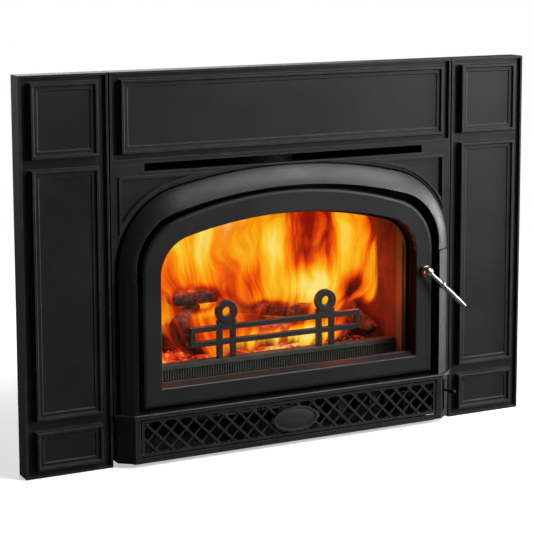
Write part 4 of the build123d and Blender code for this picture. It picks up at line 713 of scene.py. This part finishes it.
# Small red lamps stand in for the light of the fire on the bricks and the iron round it.
fire_red = (1.0, 0.10, 0.02)
for name, place, power in (
    ("fire_glow_left", (-0.15, 0.10, 0.31), 1.2),
    ("fire_glow_middle", (0.02, 0.09, 0.29), 1.2),
    ("fire_glow_right", (0.17, 0.12, 0.29), 1.0),
    ("brick_glow", (0.18, 0.025, 0.26), 0.45),
    ("ember_glow", (0.0, 0.045, 0.20), 0.3),
):
    lamp = bpy.data.lights.new(name, "POINT")
    lamp.energy = power
    lamp.color = fire_red
    lamp.shadow_soft_size = 0.04
    glow = bpy.data.objects.new(name, lamp)
    glow.location = place
    bpy.context.scene.collection.objects.link(glow)

# ------------------------------------------------------------------ blower and its control
# A tangential blower on the pan drives room air round the firebox. Its motor is at the
# right, and its speed knob is on a small plate behind the grille.
# The rotor's aluminium is given a dark grey, painted shade for its place in the dark behind the grille.
finish_nodes(fixing_steel("shaded_rotor_aluminium", (0.16, 0.16, 0.17), 0.45), "blower_rotor")
finish_nodes(blackened_finish, "blower_housing", edge=small_edge)
finish_nodes(fixing_steel("ground_shaft", (0.60, 0.60, 0.60), 0.22), "blower_shaft")
finish_nodes(fixing_steel("motor_case", (0.20, 0.20, 0.21), 0.45), "blower_motor", edge=0.001)
bronze_finish = fixing_steel("bearing_bronze", (0.50, 0.30, 0.13), 0.30)
finish_nodes(bronze_finish, "rotor_bushes", "handle_bush")
finish_nodes(blackened_finish, "control_plate", edge=sheet_edge)


def heatproof_plastic(name, colour):
    """Moulded black plastic with a fine spark-eroded grain."""
    finish, shader = new_finish(name, roughness=0.5)
    place = piece_place(finish)
    grain = cloudy(finish, place, 1500, 2)
    link(finish, ramp(finish, grain, (0.3, [0.8 * c for c in colour]), (0.7, colour)), shader, "Base Color")
    link(finish, spread(finish, cloudy(finish, place, 60), 0.42, 0.58), shader, "Roughness")
    link(finish, raised(finish, grain, 0.00015, 0.5), shader, "Normal")
    return finish


plastic_finish = heatproof_plastic("black_plastic", (0.03, 0.03, 0.032))
finish_nodes(plastic_finish, "fan_speed_knob", "power_gland", edge=sheet_edge)

# ------------------------------------------------------------------ front castings
# The front is sand-cast iron in satin black stove paint: a frame plate, the top casting
# with the hot-air slot, the arched hood, two columns and the base with its ash lip.
front_finish = cast_iron("front_iron", (0.0064, 0.0064, 0.0067), rubbed=(0.07, 0.07, 0.073), shine=0.35)
finish_nodes(front_finish, "front_frame", "front_top_plate", edge=cast_edge)
hood_finish = cast_iron("hood_iron", (0.0075, 0.0075, 0.0078), 0.47, (0.07, 0.07, 0.073), shine=0.46)
finish_nodes(hood_finish, "arch_hood", "column_left", "column_right", edge=moulded_edge)
finish_nodes(front_finish, "base_casting", edge=cast_edge)
finish_nodes(blackened_finish, "hinge_brackets", "latch_keeper", edge=sheet_edge)

# ------------------------------------------------------------------ grille and badge
# The grille under the lip is one casting of crossed bars that drops down on two pins.
# The oval badge on it is left bare.
grille_finish = cast_iron("grille_iron", (0.0075, 0.0078, 0.008), 0.40)
finish_nodes(grille_finish, "grille_lattice", edge=0.0007)
finish_nodes(cast_iron("badge_iron", (0.010, 0.010, 0.0105), 0.50), "grille_badge", edge=0.0008)

# ------------------------------------------------------------------ door
# One heavy casting with the glass laid in from behind on tape and held by a steel ring.
# A rope of glass fibre seals the door against the frame.
door_finish = cast_iron("door_iron", (0.0068, 0.0075, 0.0078), 0.46, (0.022, 0.022, 0.023), shine=0.35)
finish_nodes(door_finish, "door_frame", edge=cast_edge)
# The faces inside the glass opening and behind it take a near-black, dull iron: soot where the fire reaches,
# and painted shade in the reveal in front of the glass. The sill keeps the door's own finish.
shaded_reveal_finish = cast_iron("sooty_and_shaded_reveal", (0.002, 0.002, 0.0018), 0.85, (0.006, 0.006, 0.006), shine=0.1)
door_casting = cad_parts["door_frame"].data
door_casting.materials.append(shaded_reveal_finish)
sill_top, reveal_front = 0.16, -0.0555
for face in door_casting.polygons:
    is_sill = face.center.z < sill_top and face.normal.z > 0.3
    face.material_index = int(face.center.y > reveal_front and not is_sill)
finish_nodes(blackened_finish, "glass_retainer", "latch_cam", edge=small_edge)


def stove_glass():
    """Clear ceramic glass with a breath of grey haze in patches."""
    finish, shader = new_finish("ceramic_glass", roughness=0.05)
    place = piece_place(finish)
    haze = spread(finish, cloudy(finish, place, 8, 3), 0.015, 0.04, 0.4, 0.75)
    tint = ramp(finish, cloudy(finish, place, 20), (0.3, (0.05, 0.045, 0.04)), (0.7, (0.08, 0.075, 0.065)))
    link(finish, tint, shader, "Base Color")
    clear = shader_node(finish, "BsdfTransparent")
    joined = shader_node(finish, "MixShader", {"Fac": haze, 1: clear.outputs[0], 2: shader.outputs[0]})
    output = finish.node_tree.nodes["Material Output"]
    finish.node_tree.links.new(joined.outputs[0], output.inputs["Surface"])
    return finish


finish_nodes(stove_glass(), "door_glass")


# ------------------------------------------------------------------ glass tape and rope seal
# A flat woven tape cushions the glass in the door. A fatter braided rope of glass fibre
# lies in the groove round the back of the door and closes the gap to the frame.
def glass_fibre(name, colour):
    """Woven glass fibre: a fine slanting weave, greyed by smoke."""
    finish, shader = new_finish(name, roughness=0.95)
    place = piece_place(finish)
    inputs = {"Vector": place, "Scale": 260.0, "Distortion": 2.0, "Detail": 2.0}
    weave = shader_node(finish, "TexWave", inputs, bands_direction="DIAGONAL").outputs["Fac"]
    smoky = cloudy(finish, place, 18, 3)
    base = ramp(finish, smoky, (0.3, [0.6 * c for c in colour]), (0.7, colour))
    threads = mix_colour(finish, spread(finish, weave, 0.0, 0.55, 0.1, 0.5), base, [0.3 * c for c in colour])
    link(finish, threads, shader, "Base Color")
    link(finish, raised(finish, weave, 0.0006, 0.8), shader, "Normal")
    return finish


def arch_line(grow, foot, step):
    """Points at about a step apart round the glass opening, grown outwards, from its foot."""
    half, crown, crown_r, corner_r = 0.270, 0.449, 0.820, 0.074
    mean_foot = 0.13
    low, side = crown - crown_r, half - corner_r
    spring = low + math.sqrt((crown_r - corner_r) ** 2 - side ** 2)
    lean = math.atan2(spring - low, side)
    line = []

    def straight(start, end, count):
        line.extend(start.lerp(end, k / count) for k in range(count))

    def curve(centre, radius, first, last, count):
        for k in range(count):
            angle = first + (last - first) * k / count
            x, z = centre[0] + radius * math.cos(angle), centre[1] + radius * math.sin(angle)
            line.append(Vector((x, z)))

    edge = half + grow
    leg = round((spring - mean_foot) / step)
    bend = round(lean * corner_r / step)
    straight(Vector((-edge, foot)), Vector((edge, foot)), round(2 * half / step))
    straight(Vector((edge, foot)), Vector((edge, spring)), leg)
    curve((side, spring), corner_r + grow, 0, lean, bend)
    arch = round((math.pi - 2 * lean) * crown_r / step)
    curve((0, low), crown_r + grow, lean, math.pi - lean, arch)
    curve((-side, spring), corner_r + grow, math.pi - lean, math.pi, bend)
    straight(Vector((-edge, spring)), Vector((-edge, foot)), leg)
    return line


def seal_loop(name, outer, inner, ys, step, plumpness, relief):
    """A closed band between two outlines, each (grow, foot), and two depths; plumpness rounds it."""
    outline, inline = arch_line(*outer, step), arch_line(*inner, step)
    sides = 16
    middle_y, half_y = (ys[0] + ys[1]) / 2, (ys[1] - ys[0]) / 2
    points, faces = [], []
    for ring, (far, near) in enumerate(zip(outline, inline)):
        centre, reach = (far + near) / 2, (far - near) / 2
        for side in range(sides):
            angle = 2 * math.pi * side / sides
            round_section = (math.cos(angle), math.sin(angle))
            out, deep = (math.copysign(abs(v) ** plumpness, v) for v in round_section)
            size = 1.0 - relief(ring * step, angle)
            spot = centre + reach * out * size
            points.append((spot.x, middle_y + half_y * deep * size, spot.y))
            row, above = ring * sides, ((ring + 1) % len(outline)) * sides
            after = (side + 1) % sides
            faces.append((row + side, above + side, above + after, row + after))
    return mesh_piece(name, points, faces)


def braid(run, angle):
    """How far a braided rope sinks between its strands."""
    strands, slant, depth = 3, 420, 0.07
    one_way, other_way = strands * angle + slant * run, strands * angle - slant * run
    return depth * (1 - math.cos(one_way) * math.cos(other_way))


def plain_weave(run, angle):
    """How far a woven tape sinks between its threads."""
    threads_along, threads_round, depth = 1250, 8, 0.04
    return depth * (1 - math.cos(threads_along * run) * math.cos(threads_round * angle))


glass_tape = seal_loop(
    "woven_glass_tape",
    outer=(0.007, 0.133),
    inner=(0.0005, 0.1485),
    ys=(-0.045, -0.043),
    step=0.0025,
    plumpness=0.35,
    relief=plain_weave,
)
glass_tape.data.materials.append(glass_fibre("smoked_tape", (0.20, 0.19, 0.17)))
rope_seal = seal_loop(
    "braided_rope",
    outer=(0.0145, 0.1255),
    inner=(0.0085, 0.1315),
    ys=(-0.040, -0.0303),
    step=0.0017,
    plumpness=0.9,
    relief=braid,
)
rope_seal.data.materials.append(glass_fibre("glass_rope", (0.30, 0.29, 0.27)))
for seal, node in ((glass_tape, "glass_tape"), (rope_seal, "door_rope_seal")):
    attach(seal, "door")
    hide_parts(node)


# ------------------------------------------------------------------ handle
# A nickel-plated handle: a ball hub on the door, a thin arm, a collar and a straight
# grip. It hangs at a slant.
def nickel_plate(name, roughness):
    """Polished nickel with faint buffing lines and finger marks."""
    finish, shader = new_finish(name, metallic=1.0)
    place = piece_place(finish)
    marks = cloudy(finish, place, 55, 4)
    metal = ramp(finish, marks, (0.3, (0.42, 0.41, 0.38)), (0.7, (0.56, 0.54, 0.51)))
    link(finish, metal, shader, "Base Color")
    link(finish, spread(finish, marks, roughness, roughness + 0.14), shader, "Roughness")
    buffed = cloudy(finish, piece_place(finish, (300, 300, 3000)), 1)
    link(finish, raised(finish, buffed, 0.00005, 0.25), shader, "Normal")
    return finish


nickel_finish = nickel_plate("bright_nickel", 0.2)
finish_nodes(nickel_finish, "handle_hub", "handle_collar", "handle_grip", edge=small_edge)

# ------------------------------------------------------------------ air control
# The lever comes out of the rimmed slot at the right of the base. Its cross shaft and
# crank slide a shutter over the air inlet under the firebox.
air_nodes = ("air_lever", "air_lever_knob", "air_shutter", "air_box")
finish_nodes(blackened_finish, *air_nodes, edge=small_edge)

# ------------------------------------------------------------------ surround
# Three shallow cast panels close the opening round the insert: two sides with three
# stacked mouldings and a header with one. Bent tabs and bolts hold them together.
surround_rubbed = (0.085, 0.085, 0.088)
surround_finish = cast_iron("surround_iron", (0.0054, 0.0054, 0.0058), rubbed=surround_rubbed, shine=0.33)
surround_panels = ("surround_left", "surround_right", "surround_header")
finish_nodes(surround_finish, *surround_panels, edge=cast_edge)
finish_nodes(blackened_finish, "surround_brackets", edge=0.0008)
